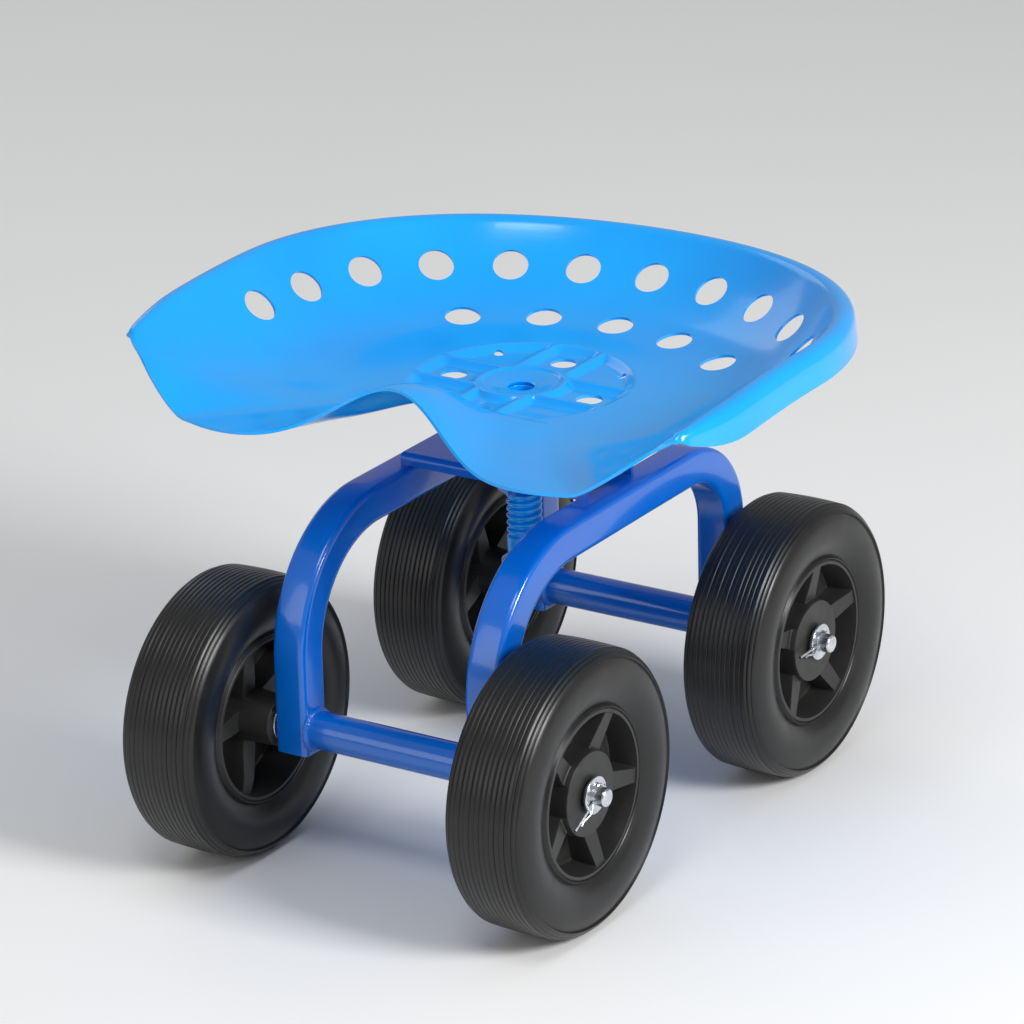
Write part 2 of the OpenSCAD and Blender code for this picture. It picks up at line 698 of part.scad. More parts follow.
// Turned rod with domed ends and a cross hole for the clip at each end
module axle_rod(y, turns) {
    dome = [for (i = [0 : rod_dome_steps]) let (a = 90 * i / rod_dome_steps)
        [rod_r * sin(a), rod_end_x - rod_dome_share * rod_r * (1 - cos(a))]];
    other = [for (i = [rod_dome_steps : -1 : 0]) [dome[i][0], -dome[i][1]]];
    color(zinc) translate([0, y, axle_z]) difference() {
        rotate([0, 90, 0]) rotate_extrude() polygon(concat(dome, other));
        for (i = [0, 1]) translate([(1 - 2 * i) * clip_x, 0]) rotate([turns[i], 0, 0]) rotate([90, 0, 0])
            cylinder(r = wire_r + hole_gap, h = 4 * rod_r, center = true);
    }
}

module axle_washer() {
    rotate([0, 90, 0]) difference() {
        cylinder(r = washer_r, h = washer_t);
        translate([0, 0, -overrun]) cylinder(r = rod_r + hole_gap, h = washer_t + 2 * overrun);
    }
}

// Wheel places: side (+1 right, -1 left), y of the axle and turn of the wheel
places = [[1, -axle_y, wheel_turn[0]], [1, axle_y, wheel_turn[1]],
          [-1, -axle_y, wheel_turn[2]], [-1, axle_y, wheel_turn[3]]];

// Stands a child that is drawn on the right, with its axle along X, at one of the places
module at_wheel(i) {
    translate([0, places[i][1], axle_z])
        if (places[i][0] > 0) children();
        else mirror([1, 0, 0]) children();
}

module inner_washers() {
    color(zinc) for (i = [0 : 3]) at_wheel(i) translate([inner_washer_x, 0]) axle_washer();
}

module outer_washers() {
    color(zinc) for (i = [0 : 3]) at_wheel(i) translate([outer_washer_x, 0]) axle_washer();
}

// Path of a hairpin clip in its own plane: straight leg through the rod, loop,
// return leg, bow over the rod and a flared tip, all tangent to each other
function arc_path(c, r, from, through, n, first) =
    [for (i = [first : n]) c + r * [cos(from + through * i / n), sin(from + through * i / n)]];
function clip_path() =
    let (reach = clip_reach_share * rod_r,
         tail = clip_tail_share * rod_r,
         loop = loop_share * wire_r,
         bow = rod_r + wire_r + hole_gap,
         fillet = clip_fillet_share * bow,
         fillet_x = sqrt(pow(bow + fillet, 2) - pow(2 * loop + fillet, 2)),
         fillet_y = 2 * loop + fillet,
         meet = atan2(fillet_y, fillet_x))
    concat([[-tail, 0]],
           arc_path([reach, loop], loop, -90, 180, clip_steps, 0),
           arc_path([fillet_x, fillet_y], fillet, 270, meet - 90, clip_steps / 2, 0),
           arc_path([0, 0], bow, meet, 180 - 2 * meet, clip_steps, 1),
           arc_path([-fillet_x, fillet_y], fillet, -meet, meet - 90 - clip_flare, clip_steps / 2, 1));

module clip() {
    path = clip_path();
    last = len(path) - 1;
    side = clip_sides;
    rings = [for (i = [0 : last])
        let (d = unit(path[min(i + 1, last)] - path[max(i - 1, 0)]))
        for (q = [0 : side - 1]) let (w = wire_r * cos(360 * q / side))
            [path[i][0] - d[1] * w, path[i][1] + d[0] * w, wire_r * sin(360 * q / side)]];
    skin = [for (i = [0 : last - 1]) for (q = [0 : side - 1]) let (n = (q + 1) % side)
        each quad(i * side + q, (i + 1) * side + q, (i + 1) * side + n, i * side + n)];
    caps = [[for (q = [0 : side - 1]) q], [for (q = [side - 1 : -1 : 0]) last * side + q]];
    polyhedron(rings, concat(skin, caps));
}

// Stands the clip's flat plane across the rod, with its legs at an angle from +Y
module hairpin_clips() {
    color(zinc) for (i = [0 : 3]) translate([places[i][0] * clip_x, places[i][1], axle_z])
        rotate([clip_turn[i], 0, 0]) rotate([90, 0, 90]) clip();
}

// Half outline of the tyre's outside in [radius, distance from its middle]
function shoulder() = [for (s = shoulder_share) [wheel_r * (1 - s[1]), tyre_w * s[0]]];
function sidewall() =
    let (r = bulge_r_share * wheel_r, mid = bulge_mid_share * wheel_r,
         c = tyre_w / 2 - r, top = asin((shoulder()[5][0] - mid) / r), low = asin((hub_r - mid) / r))
    [for (i = [1 : bulge_steps]) let (a = mix(top, low, i / bulge_steps))
        [mid + r * sin(a), min(c + r * cos(a), i == bulge_steps ? rim_face : tyre_w)]];
function tread() =
    let (half = tread_half_share * tyre_w, gap = 2 * half / (tread_grooves + 1),
         g = groove_half_share * tyre_w, deep = groove_depth_share * wheel_r,
         drop = crown_drop_share * wheel_r)
    concat([[wheel_r - drop, -half]],
           [for (i = [1 : tread_grooves])
               let (x = -half + i * gap, r = wheel_r - drop * pow(x / half, 2))
               each [[r, x - 2 * g], [r - deep, x - g], [r - deep, x + g], [r, x + 2 * g]]],
           [[wheel_r - drop, half]]);
function mirrored(v) = [for (i = [len(v) - 1 : -1 : 0]) [v[i][0], -v[i][1]]];

module tyre(i) {
    half = concat(shoulder(), sidewall());
    color(rubber_black) at_wheel(i) translate([hub_mid_x, 0]) rotate([0, 90, 0])
        rotate_extrude($fn = 96) polygon(concat(mirrored(half), tread(), half));
}

// Hub: barrel, web, bosses and bore, drawn along its own axis from the wheel's middle
module hub_turning() {
    w = rim_face;
    r = hub_r - seat_gap;
    web_in = web_in_share * tyre_w;
    web_out = web_out_share * tyre_w;
    inner_r = inner_boss_share * boss_r;
    c = boss_chamfer_share * boss_r;
    face = w - boss_back_share * tyre_w;
    draft = barrel_draft_share * hub_r;
    inner = hub_in_x - hub_mid_x;
    rotate_extrude() polygon([
        [bush_r + seat_gap, inner], [inner_r, inner], [inner_r, web_in], [r - hub_wall - draft, web_in],
        [r - hub_wall, -w], [r, -w], [r, w], [r - hub_wall, w], [r - hub_wall - draft, web_out],
        [boss_r, web_out], [boss_r, face - c], [boss_r - c, face], [bush_r + seat_gap, face]]);
}

// Tapered spokes on one face of the web, between a height at the web and one that
// runs straight from the spoke's root to its tip
module hub_spokes(from, at_root, at_tip, root_r) {
    root = spoke_root_share * boss_r;
    tip = spoke_tip_share * hub_r;
    tip_r = hub_r - hub_wall / 2;
    most = max(at_root, at_tip, from);
    least = min(at_root, at_tip, from);
    intersection() {
        for (q = [0 : spokes - 1]) rotate(360 * q / spokes) translate([0, 0, least])
            linear_extrude(most - least) polygon([[root_r, -root / 2], [tip_r, -tip / 2],
                                                  [tip_r, tip / 2], [root_r, root / 2]]);
        rotate_extrude() polygon([[0, from], [hub_r, from], [hub_r, at_tip], [root_r, at_root], [0, at_root]]);
    }
}

module hub(i) {
    web_in = web_in_share * tyre_w;
    web_out = web_out_share * tyre_w;
    root_share = 0.9;
    color(plastic_black) at_wheel(i) rotate([places[i][2], 0, 0]) translate([hub_mid_x, 0])
        rotate([90, 0, 90]) {
            hub_turning();
            hub_spokes((web_in + web_out) / 2, spoke_out_share * tyre_w, spoke_rim_share * tyre_w,
                       root_share * boss_r);
            hub_spokes((web_in + web_out) / 2, -spoke_in_share * tyre_w, -spoke_in_share * tyre_w,
                       root_share * inner_boss_share * boss_r);
        }
}

module bush(i) {
    color(nylon_black) at_wheel(i) translate([hub_in_x, 0]) rotate([0, 90, 0]) difference() {
        cylinder(r = bush_r, h = hub_out_x - hub_in_x);
        translate([0, 0, -overrun]) cylinder(r = rod_r + run_gap, h = hub_out_x - hub_in_x + 2 * overrun);
    }
}

seat_pan();
seat_flange();
screw_post();
end_bolt();
stop_washer();
screw_nut();
cross_channel();
arch(-arch_x);  // arch_left
arch(arch_x);  // arch_right
axle_tube(-axle_y);  // axle_tube_front
axle_tube(axle_y);  // axle_tube_rear
axle_rod(-axle_y, [clip_turn[0], clip_turn[2]]);  // axle_rod_front
axle_rod(axle_y, [clip_turn[1], clip_turn[3]]);  // axle_rod_rear
inner_washers();
outer_washers();
hairpin_clips();
tyre(0);  // tyre_front_right
hub(0);  // hub_front_right
bush(0);  // bush_front_right
tyre(1);  // tyre_rear_right
hub(1);  // hub_rear_right
bush(1);  // bush_rear_right
tyre(2);  // tyre_front_left
hub(2);  // hub_front_left
bush(2);  // bush_front_left
tyre(3);  // tyre_rear_left
hub(3);  // hub_rear_left
bush(3);  // bush_rear_left
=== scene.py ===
"""Looks of a rolling garden seat: a pressed pan on a lifting screw, over two bent arches and four wheels.

Every piece is a numpy surface in the row frame. Sizes are in millimetres and become metres when a mesh is
made. +Z is up, the seat's front faces -Y and the origin is on the ground.
"""

import json
import logging
import math
from contextlib import contextmanager
from dataclasses import dataclass
from enum import Enum
from typing import Iterator, Sequence

import bmesh
import bpy
import numpy as np
from mathutils import Matrix, Vector
from mathutils.geometry import delaunay_2d_cdt

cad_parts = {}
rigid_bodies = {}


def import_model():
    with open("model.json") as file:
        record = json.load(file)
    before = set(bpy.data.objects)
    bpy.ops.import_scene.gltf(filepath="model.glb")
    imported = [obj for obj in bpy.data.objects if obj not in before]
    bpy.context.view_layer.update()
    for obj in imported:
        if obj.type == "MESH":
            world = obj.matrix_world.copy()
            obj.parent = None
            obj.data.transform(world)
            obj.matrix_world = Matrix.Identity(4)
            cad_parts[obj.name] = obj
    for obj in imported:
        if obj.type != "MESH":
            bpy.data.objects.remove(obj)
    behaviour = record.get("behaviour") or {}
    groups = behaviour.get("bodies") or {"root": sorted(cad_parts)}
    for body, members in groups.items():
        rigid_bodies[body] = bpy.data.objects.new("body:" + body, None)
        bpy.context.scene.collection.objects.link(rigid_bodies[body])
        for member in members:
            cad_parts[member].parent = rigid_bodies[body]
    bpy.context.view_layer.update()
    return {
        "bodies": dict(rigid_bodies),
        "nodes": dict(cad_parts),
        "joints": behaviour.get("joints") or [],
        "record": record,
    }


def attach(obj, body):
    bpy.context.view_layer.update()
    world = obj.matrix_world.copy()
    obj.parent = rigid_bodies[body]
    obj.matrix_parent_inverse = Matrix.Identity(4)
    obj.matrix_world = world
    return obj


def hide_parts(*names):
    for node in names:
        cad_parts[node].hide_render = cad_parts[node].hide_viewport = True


LOG = logging.getLogger("garden_seat")
MM = 0.001
TURN = 2 * math.pi
Array = np.ndarray
Socket = bpy.types.NodeSocket


class Slot(Enum):
    """Material slots of the record."""

    SEAT_PAINT = "seat_paint"
    FRAME_PAINT = "frame_paint"
    ZINC = "zinc"
    TYRE = "tyre"
    HUB = "hub_plastic"
    BUSH = "bush_plastic"


class Body(Enum):
    """Bodies that pieces ride on, apart from the wheels."""

    FRAME = "frame"
    STOP = "seat_stop"
    SEAT = "seat"


# ---------------------------------------------------------------- numpy shape tools


def smooth(low: float, high: float, value: Array) -> Array:
    """Smoothstep: 3t^2 - 2t^3 with t the clipped share of the way from low to high."""
    t = np.clip((np.asarray(value, float) - low) / (high - low), 0.0, 1.0)
    return t * t * (3.0 - 2.0 * t)


def eased(t: Array, ease: float) -> Array:
    """A rise from 0 to 1 that starts softly and goes on straight: (1 + e) t^2 / (t + e)."""
    return (1 + ease) * t * t / (t + ease)


def mix(a: Array, b: Array, t: Array) -> Array:
    """Straight mix a + (b - a) t."""
    return a + (b - a) * t


def unit(v: Array) -> Array:
    """Vectors of length 1 along the last axis."""
    return v / np.maximum(np.linalg.norm(v, axis=-1, keepdims=True), 1e-12)


def around(count: int) -> Array:
    """Evenly spaced angles of one turn, without its end."""
    return np.linspace(0, TURN, count, endpoint=False)


def circle(radius: float, count: int) -> Array:
    """Points of a circle, radius (cos a, sin a)."""
    a = around(count)
    return radius * np.stack([np.cos(a), np.sin(a)], -1)


def polar(radius: Array, angle: Array, height: Array) -> Array:
    """Points (r cos a, r sin a, h) of radii, angles and heights that broadcast together."""
    r, a, h = np.broadcast_arrays(np.asarray(radius, float), angle, height)
    return np.stack([r * np.cos(a), r * np.sin(a), h], -1)


def ahead(radius: Array, angle: Array) -> Array:
    """Plan points (r sin a, -r cos a) of radii and of angles from the front."""
    return np.stack([radius * np.sin(angle), -radius * np.cos(angle)], -1)


def arc(centre: Sequence, radius: float, start: float, through: float, steps: int) -> Array:
    """Points of an arc, centre + radius (cos a, sin a), angles in degrees.

    Args:
        centre: the arc's centre.
        radius: its radius.
        start: first angle.
        through: angle swept, with its sign.
        steps: spans.
    Returns:
        steps + 1 points.
    """
    a = np.radians(start + through * np.linspace(0, 1, steps + 1))
    return np.asarray(centre, float) + radius * np.stack([np.cos(a), np.sin(a)], -1)


def rounded(corners: Sequence, cuts: Sequence, steps: int = 4) -> Array:
    """A closed outline whose corners are rounded: each corner P becomes (1-s)^2 A + 2s(1-s) P + s^2 B, where A
    and B lie a cut length before and after P on its two sides.

    Args:
        corners: points of the outline, in order.
        cuts: cut length at each corner, 0 for a sharp one.
        steps: spans of each rounded corner.
    Returns:
        The outline's points.
    """
    p = np.asarray(corners, float)
    before, after = np.roll(p, 1, 0) - p, np.roll(p, -1, 0) - p
    limit = 0.48 * np.minimum(np.linalg.norm(before, axis=1), np.linalg.norm(after, axis=1))
    cut = np.minimum(np.broadcast_to(np.asarray(cuts, float), (len(p),)), limit)[:, None]
    a, b = p + unit(before) * cut, p + unit(after) * cut
    s = np.linspace(0, 1, steps + 1)[None, :, None]
    curve = (1 - s) ** 2 * a[:, None] + 2 * s * (1 - s) * p[:, None] + s**2 * b[:, None]
    keep = np.ones(curve.shape[:2], bool)
    keep[cut[:, 0] <= 0, 1:] = False
    return curve[keep]


@dataclass
class Surface:
    """Vertices in millimetres and faces as index tuples."""

    points: Array
    faces: list

    def joined(self, *others: "Surface") -> "Surface":
        """One surface that holds this one and the others."""
        points, faces, start = [self.points], list(self.faces), len(self.points)
        for other in others:
            points.append(other.points)
            faces += [tuple(i + start for i in f) for f in other.faces]
            start += len(other.points)
        return Surface(np.vstack(points), faces)

    def moved(self, matrix: Array, offset: Sequence[float]) -> "Surface":
        """The surface turned by a 3x3 matrix and moved; a mirroring matrix also turns the faces round.

        Args:
            matrix: applied as p @ matrix.T.
            offset: shift in millimetres.
        Returns:
            The moved surface.
        """
        faces = [f[::-1] for f in self.faces] if np.linalg.det(matrix) < 0 else self.faces
        return Surface(self.points @ np.asarray(matrix, float).T + np.asarray(offset, float), faces)


def grid(rows: Array, wrap_rows: bool = True, flip: bool = False) -> Surface:
    """A grid of points whose last column meets the first, with quads between neighbours.

    Args:
        rows: points shaped rows, columns, 3.
        wrap_rows: whether the last row meets the first too.
        flip: whether the faces are turned round.
    Returns:
        The surface, closed where the rows wrap.
    """
    n, cols = rows.shape[:2]
    i, j = np.meshgrid(np.arange(n if wrap_rows else n - 1), np.arange(cols), indexing="ij")
    k, m = (i + 1) % n, (j + 1) % cols
    quads = np.stack([i * cols + j, i * cols + m, k * cols + m, k * cols + j], -1).reshape(-1, 4)
    return Surface(rows.reshape(-1, 3), [tuple(q[::-1] if flip else q) for q in quads.tolist()])


def revolve(profile: Array, segments: int) -> Surface:
    """A closed outline in [radius, height] turned about Z, anticlockwise with the radius to the right."""
    return grid(polar(profile[:, :1], around(segments), profile[:, 1:]), flip=True)


def sleeve(inner: float, outer: float, low: float, high: float, cuts: Sequence, steps: int, segments: int) -> Surface:
    """A sleeve, disc or rod about Z: a rectangle in [radius, height] with rounded corners, turned round.

    Args:
        inner: inner radius, 0 for a solid one.
        outer: outer radius.
        low: lowest height.
        high: highest height.
        cuts: corner cuts, from inner low round to inner high.
        steps: spans of each corner.
        segments: spans of the turn.
    Returns:
        The closed surface.
    """
    return revolve(rounded([[inner, low], [outer, low], [outer, high], [inner, high]], cuts, steps), segments)


def carried(path: Array, along: Array, outline: Array, normal: Array) -> Array:
    """An outline [u, v] carried along a path in one plane: p + u n x d + v n.

    Args:
        path: points p of the path.
        along: its unit directions d.
        outline: points of the closed outline.
        normal: unit normal n of the path's plane.
    Returns:
        Points shaped path, outline, 3.
    """
    side = np.cross(np.broadcast_to(normal, along.shape), along)
    return path[:, None] + outline[None, :, 0, None] * side[:, None] + outline[None, :, 1, None] * normal


ALONG_X = np.array([[0, 0, 1], [1, 0, 0], [0, 1, 0]], float)
UPRIGHT = np.eye(3)
UP = np.array([0.0, 0.0, 1.0])


def about_x(degrees: float) -> Array:
    """Matrix of a turn about X."""
    c, s = math.cos(math.radians(degrees)), math.sin(math.radians(degrees))
    return np.array([[1, 0, 0], [0, c, -s], [0, s, c]])


# ---------------------------------------------------------------- finishes


class Nodes:
    """Small helper that builds one node material on object coordinates."""

    def __init__(self, name: str) -> None:
        """Makes a material with a principled shader.

        Args:
            name: the material's name.
        """
        self.material = bpy.data.materials.new(name)
        self.material.use_nodes = True
        self.tree = self.material.node_tree
        self.tree.nodes.clear()
        self.shader = self.tree.nodes.new("ShaderNodeBsdfPrincipled")
        self.link(self.shader.outputs[0], self.tree.nodes.new("ShaderNodeOutputMaterial").inputs[0])
        self.place = self.tree.nodes.new("ShaderNodeTexCoord").outputs["Object"]

    def link(self, source: Socket, target: Socket) -> None:
        """Joins an output to an input."""
        self.tree.links.new(source, target)

    def noise(self, scale: float, detail: float = 3.0, rough: float = 0.5) -> Socket:
        """Value output of a noise texture with so many cells per metre, octaves and weight of the finer ones."""
        node = self.tree.nodes.new("ShaderNodeTexNoise")
        for socket, number in (("Scale", scale), ("Detail", detail), ("Roughness", rough)):
            node.inputs[socket].default_value = number
        self.link(self.place, node.inputs["Vector"])
        return node.outputs[0]

    def ramp(self, value: Socket, low: float, high: float, out_low: float, out_high: float) -> Socket:
        """Output that maps a value's range low to high onto another, clamped."""
        node = self.tree.nodes.new("ShaderNodeMapRange")
        self.link(value, node.inputs[0])
        for index, number in enumerate((low, high, out_low, out_high), 1):
            node.inputs[index].default_value = number
        return node.outputs[0]

    def colour(self, value: Socket, low: float, high: float, first: Sequence, second: Sequence) -> None:
        """Gives the shader a colour that goes from one to another as a value rises.

        Args:
            value: the output that decides.
            low: value of the first colour.
            high: value of the second.
            first: linear red, green and blue.
            second: the same.
        """
        node = self.tree.nodes.new("ShaderNodeMix")
        node.data_type = "RGBA"
        self.link(self.ramp(value, low, high, 0.0, 1.0), node.inputs[0])
        for index, tint in ((6, first), (7, second)):
            node.inputs[index].default_value = (*tint, 1)
        self.link(node.outputs[2], self.shader.inputs["Base Color"])

    def roughness(self, value: Socket, least: float, most: float) -> None:
        """Gives the shader a roughness between two numbers as a noise goes from 0.3 to 0.7."""
        self.link(self.ramp(value, 0.3, 0.7, least, most), self.shader.inputs["Roughness"])

    def bumps(self, *layers: tuple) -> None:
        """Gives the shader bumps laid over each other.

        Args:
            layers: height output, strength from 0 to 1 and metres of one unit of height, for each.
        """
        under = None
        for height, strength, distance in layers:
            node = self.tree.nodes.new("ShaderNodeBump")
            node.inputs["Strength"].default_value = strength
            node.inputs["Distance"].default_value = distance
            self.link(height, node.inputs["Height"])
            if under is not None:
                self.link(under, node.inputs["Normal"])
            under = node.outputs[0]
        self.link(under, self.shader.inputs["Normal"])

    def set(self, **values: float) -> None:
        """Sets sockets of the shader by name, with _ for a space."""
        for name, value in values.items():
            self.shader.inputs[name.replace("_", " ")].default_value = value


@dataclass(frozen=True)
class PowderCoat:
    """Gloss powder coat: a deep colour with brighter patches, a faint orange peel and a clear coat."""

    name: str
    deep: tuple
    bright: tuple
    roughness: float
    coat: float

    def build(self) -> bpy.types.Material:
        """The node material."""
        n = Nodes(self.name)
        n.colour(n.noise(9.0), 0.35, 0.65, self.deep, self.bright)
        n.roughness(n.noise(35.0, 4.0), self.roughness * 0.85, self.roughness * 1.2)
        peel, waves = n.noise(420.0, 2.0), n.noise(28.0, 1.0)
        n.bumps((peel, 0.12, 0.0004), (waves, 0.1, 0.0012))
        n.set(Metallic=0.0, Coat_Weight=self.coat, Coat_Roughness=0.06, IOR=1.5)
        return n.material


@dataclass(frozen=True)
class MouldedBlack:
    """Black rubber or plastic from a mould: fine grain, dull patches and a little dust."""

    name: str
    dark: tuple
    dusty: tuple
    roughness: float
    grain: float
    grain_scale: float

    def build(self) -> bpy.types.Material:
        """The node material."""
        n = Nodes(self.name)
        n.colour(n.noise(14.0, 5.0, 0.6), 0.4, 0.75, self.dark, self.dusty)
        n.roughness(n.noise(60.0, 5.0, 0.6), self.roughness * 0.85, self.roughness * 1.15)
        n.bumps((n.noise(self.grain_scale), self.grain, 0.0003))
        n.set(Metallic=0.0, IOR=1.48)
        return n.material


@dataclass(frozen=True)
class ZincPlate:
    """Bright zinc: metal with a fine cloudy spangle and light rubbing."""

    name: str
    light: tuple = (0.82, 0.83, 0.85)
    dark: tuple = (0.55, 0.57, 0.60)

    def build(self) -> bpy.types.Material:
        """The node material."""
        n = Nodes(self.name)
        cloud = n.noise(240.0, 5.0, 0.6)
        n.colour(cloud, 0.3, 0.7, self.light, self.dark)
        n.roughness(n.noise(500.0), 0.16, 0.3)
        n.bumps((cloud, 0.15, 0.0001))
        n.set(Metallic=1.0)
        return n.material


FINISHES = {
    Slot.SEAT_PAINT: PowderCoat("seat_gloss_blue", (0.0, 0.345, 0.93), (0.0, 0.385, 0.97), 0.18, 0.25),
    Slot.FRAME_PAINT: PowderCoat("frame_gloss_blue", (0.0, 0.115, 0.54), (0.0, 0.135, 0.60), 0.18, 0.5),
    Slot.ZINC: ZincPlate("zinc_plate"),
    Slot.TYRE: MouldedBlack("tyre_black", (0.006, 0.006, 0.0058), (0.010, 0.010, 0.0095), 0.33, 0.15, 900.0),
    Slot.HUB: MouldedBlack("hub_black", (0.019, 0.0195, 0.018), (0.024, 0.0245, 0.023), 0.47, 0.15, 1500.0),
    Slot.BUSH: MouldedBlack("bush_nylon", (0.05, 0.05, 0.052), (0.06, 0.06, 0.06), 0.4, 0.1, 1500.0),
}


@contextmanager
def edited(mesh: bpy.types.Mesh) -> Iterator[bmesh.types.BMesh]:
    """An editable copy of a mesh that is written back at the end."""
    work = bmesh.new()
    work.from_mesh(mesh)
    yield work
    work.to_mesh(mesh)
    work.free()


class Workshop:
    """Turns surfaces into finished pieces and fastens them to bodies."""

    def __init__(self, frame: dict) -> None:
        """Keeps the frame and makes one material for each slot.
        """
        self.frame = frame
        self.materials = {slot: finish.build() for slot, finish in FINISHES.items()}

    def dress(self, piece: bpy.types.Object, slot: Slot) -> None:
        """Gives a piece its finish."""
        piece.data.materials.clear()
        piece.data.materials.append(self.materials[slot])

    def piece(self, name: str, surface: Surface, slot: Slot, body: str, stands_for: Sequence[str] = (),
              sharp: float = 38.0, merge: float = 1e-6) -> bpy.types.Object:
        """Makes one piece from a surface: doubles merged, flat faces dropped, every face outwards.

        Args:
            name: the piece's name.
            surface: its shape in millimetres.
            slot: its finish.
            body: the body that it rides on.
            stands_for: CAD nodes that it replaces.
            sharp: angle in degrees over which an edge is shaded sharp.
            merge: distance in metres under which points are one.
        Returns:
            The object.
        """
        mesh = bpy.data.meshes.new(name)
        mesh.from_pydata((surface.points * MM).tolist(), [], surface.faces)
        mesh.validate()
        with edited(mesh) as work:
            bmesh.ops.remove_doubles(work, verts=work.verts, dist=merge)
            bmesh.ops.dissolve_degenerate(work, edges=work.edges, dist=merge)
            bmesh.ops.recalc_face_normals(work, faces=work.faces)
        mesh.shade_smooth()
        mesh.set_sharp_from_angle(angle=math.radians(sharp))
        piece = bpy.data.objects.new(name, mesh)
        bpy.context.scene.collection.objects.link(piece)
        self.dress(piece, slot)
        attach(piece, body)
        if stands_for:
            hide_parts(*stands_for)
        LOG.info("%s: %d vertices, %d faces, on %s", name, len(mesh.vertices), len(mesh.polygons), body)
        return piece

    def keep(self, node: str, slot: Slot) -> None:
        """Gives a CAD node that stays its finish."""
        self.dress(self.frame["nodes"][node], slot)
        LOG.info("%s: kept from the frame", node)


# ---------------------------------------------------------------- seat pan


@dataclass(frozen=True)
class Hole:
    """A round hole in the pan: its centre and unit normal about the screw's axis, and its radius."""

    centre: Array
    normal: Array
    radius: float


@dataclass
class SeatPan:
    """The pressed pan: a flat middle with a stamped rosette, a bowl, a round pommel, a waved front edge, rounded
    corners and a rolled rim.

    Lengths are about the screw's axis. Angles run from the front, in radians unless a name says degrees.
    A folded angle is an angle between 0 and pi that stands for both sides.
    """

    centre_y: float = 15.0
    base_z: float = 297.5
    sheet: float = 2.0
    edge_bevel: float = 0.55

    # plan of the edge; the two tuples are how much, then where along x
    half_w: float = 208.0
    corner_x: float = 205.5
    back_reach: float = 191.0
    pommel_reach: float = 149.0
    lobe_more: float = 35.0
    lobe_x: float = 111.0
    fuller: tuple = (4.6, 175.0, 40.0)
    drawn_back: tuple = (4.5, 180.0, 212.0)
    side_widens_to: float = 1.2
    corner_sharpness: float = 60.0

    # height of the edge over the flat middle
    pommel_rise: float = 40.5
    pommel_power: float = 3.2
    thigh_rise: float = 5.0
    thigh_x: float = 146.0
    thigh_ease: float = 0.22
    corner_rise: float = 44.5
    side_rise: float = 53.0
    back_rise: float = 44.5

    # rolled rim; lip_share is its size at the corner
    rim_r: float = 8.3
    rim_drop: float = 15.0
    rim_end: float = -84.0
    lip_share: float = 0.16
    lip_from_x: float = 186.0
    roll_grows: float = 58.0

    # flat middle, the step in front of its toe and the rosette
    flat_r: float = 81.0
    toe_reach: float = 65.0
    toe_lift: float = 4.5
    toe_y: float = -61.0
    pocket_r: float = 76.5
    pocket_depth: float = 4.4
    pocket_slope: float = 5.5
    outer_slope: float = 9.5
    rib_x: float = 18.5
    rib_w: float = 3.0
    ring_r: float = 30.5
    recess_r: float = 27.5
    recess_step: float = 1.7
    recess_slope: float = 2.6
    dish_depth: float = 1.8

    # holes
    vent_r: float = 12.2
    centre_hole_r: float = 8.8
    bolt_circle_r: float = 52.7
    bolt_hole_r: float = 9.0
    rear_hole: float = 48.0
    rear_hole_r: float = 3.25

    # fineness of the mesh
    bowl_share: float = 0.985
    wall_rows: int = 28
    roll_rows: int = 12
    steps: tuple = (0.42, 1.05, 2.4)
    hole_points: int = 56
    columns: int = 300
    nudge: float = 0.004

    def __post_init__(self) -> None:
        """Tables of the edge's reach and rise by folded angle."""
        self.table_a = np.linspace(0, math.pi, 1801)
        self.table_reach = self.edge_reach(self.table_a)
        self.table_rise = self.edge_rise(self.table_a)

    @staticmethod
    def fold(angle: Array) -> Array:
        """Any angle folded into 0 to pi."""
        return np.abs((angle + math.pi) % TURN - math.pi)

    def reach(self, a: Array) -> Array:
        """The edge's reach at a folded angle, from the table."""
        return np.interp(a, self.table_a, self.table_reach)

    def rise(self, a: Array) -> Array:
        """The edge's rise at a folded angle, from the table."""
        return np.interp(a, self.table_a, self.table_rise)

    def front_y(self, x: Array) -> Array:
        """Distance of the front edge in front of the screw: pommel reach plus a raised cosine of x, fuller by a
        squared parabola at the lobe's outer side and drawn back towards the corner."""
        wave = self.lobe_more * 0.5 * (1 - np.cos(math.pi * np.minimum(x, 2 * self.lobe_x) / self.lobe_x))
        more, middle, half = self.fuller
        less, start, end = self.drawn_back
        bulge = more * np.clip(1 - ((x - middle) / half) ** 2, 0, 1) ** 2
        return self.pommel_reach + wave + bulge - less * smooth(start, end, x)

    def corner(self) -> float:
        """Angle at which the front edge would meet the side line."""
        return math.atan2(self.corner_x, float(self.front_y(np.array(self.corner_x))))

    def edge_reach(self, a: Array) -> Array:
        """Plan distance from the screw to the wall's top: the lesser of front f and side s, rounded as
        (f^-n + s^-n)^(-1/n), and half an ellipse at the back. The front's x at an angle is found by halving
        steps of x = y(x) tan a, and the side widens a little behind the corner.

        Args:
            a: folded angles.
        Returns:
            Distances in millimetres.
        """
        s, c = np.sin(a), np.cos(a)
        widened = smooth(self.corner(), self.side_widens_to, a)
        side = mix(self.corner_x, self.half_w, widened) / np.maximum(s, 1e-3)
        slope = np.tan(np.minimum(a, 1.4))
        x = np.minimum(self.half_w * a / self.corner(), self.half_w)
        for _ in range(16):
            x = 0.5 * (x + np.minimum(self.front_y(x) * slope, 2 * self.half_w))
        front = self.front_y(x) / np.maximum(c, 0.05)
        near, far = np.minimum(front, side), np.maximum(front, side)
        met = near * (1 + (near / far) ** self.corner_sharpness) ** (-1 / self.corner_sharpness)
        ellipse = 1 / np.sqrt((s / self.half_w) ** 2 + (c / self.back_reach) ** 2)
        return np.where(c <= 0, ellipse, met)

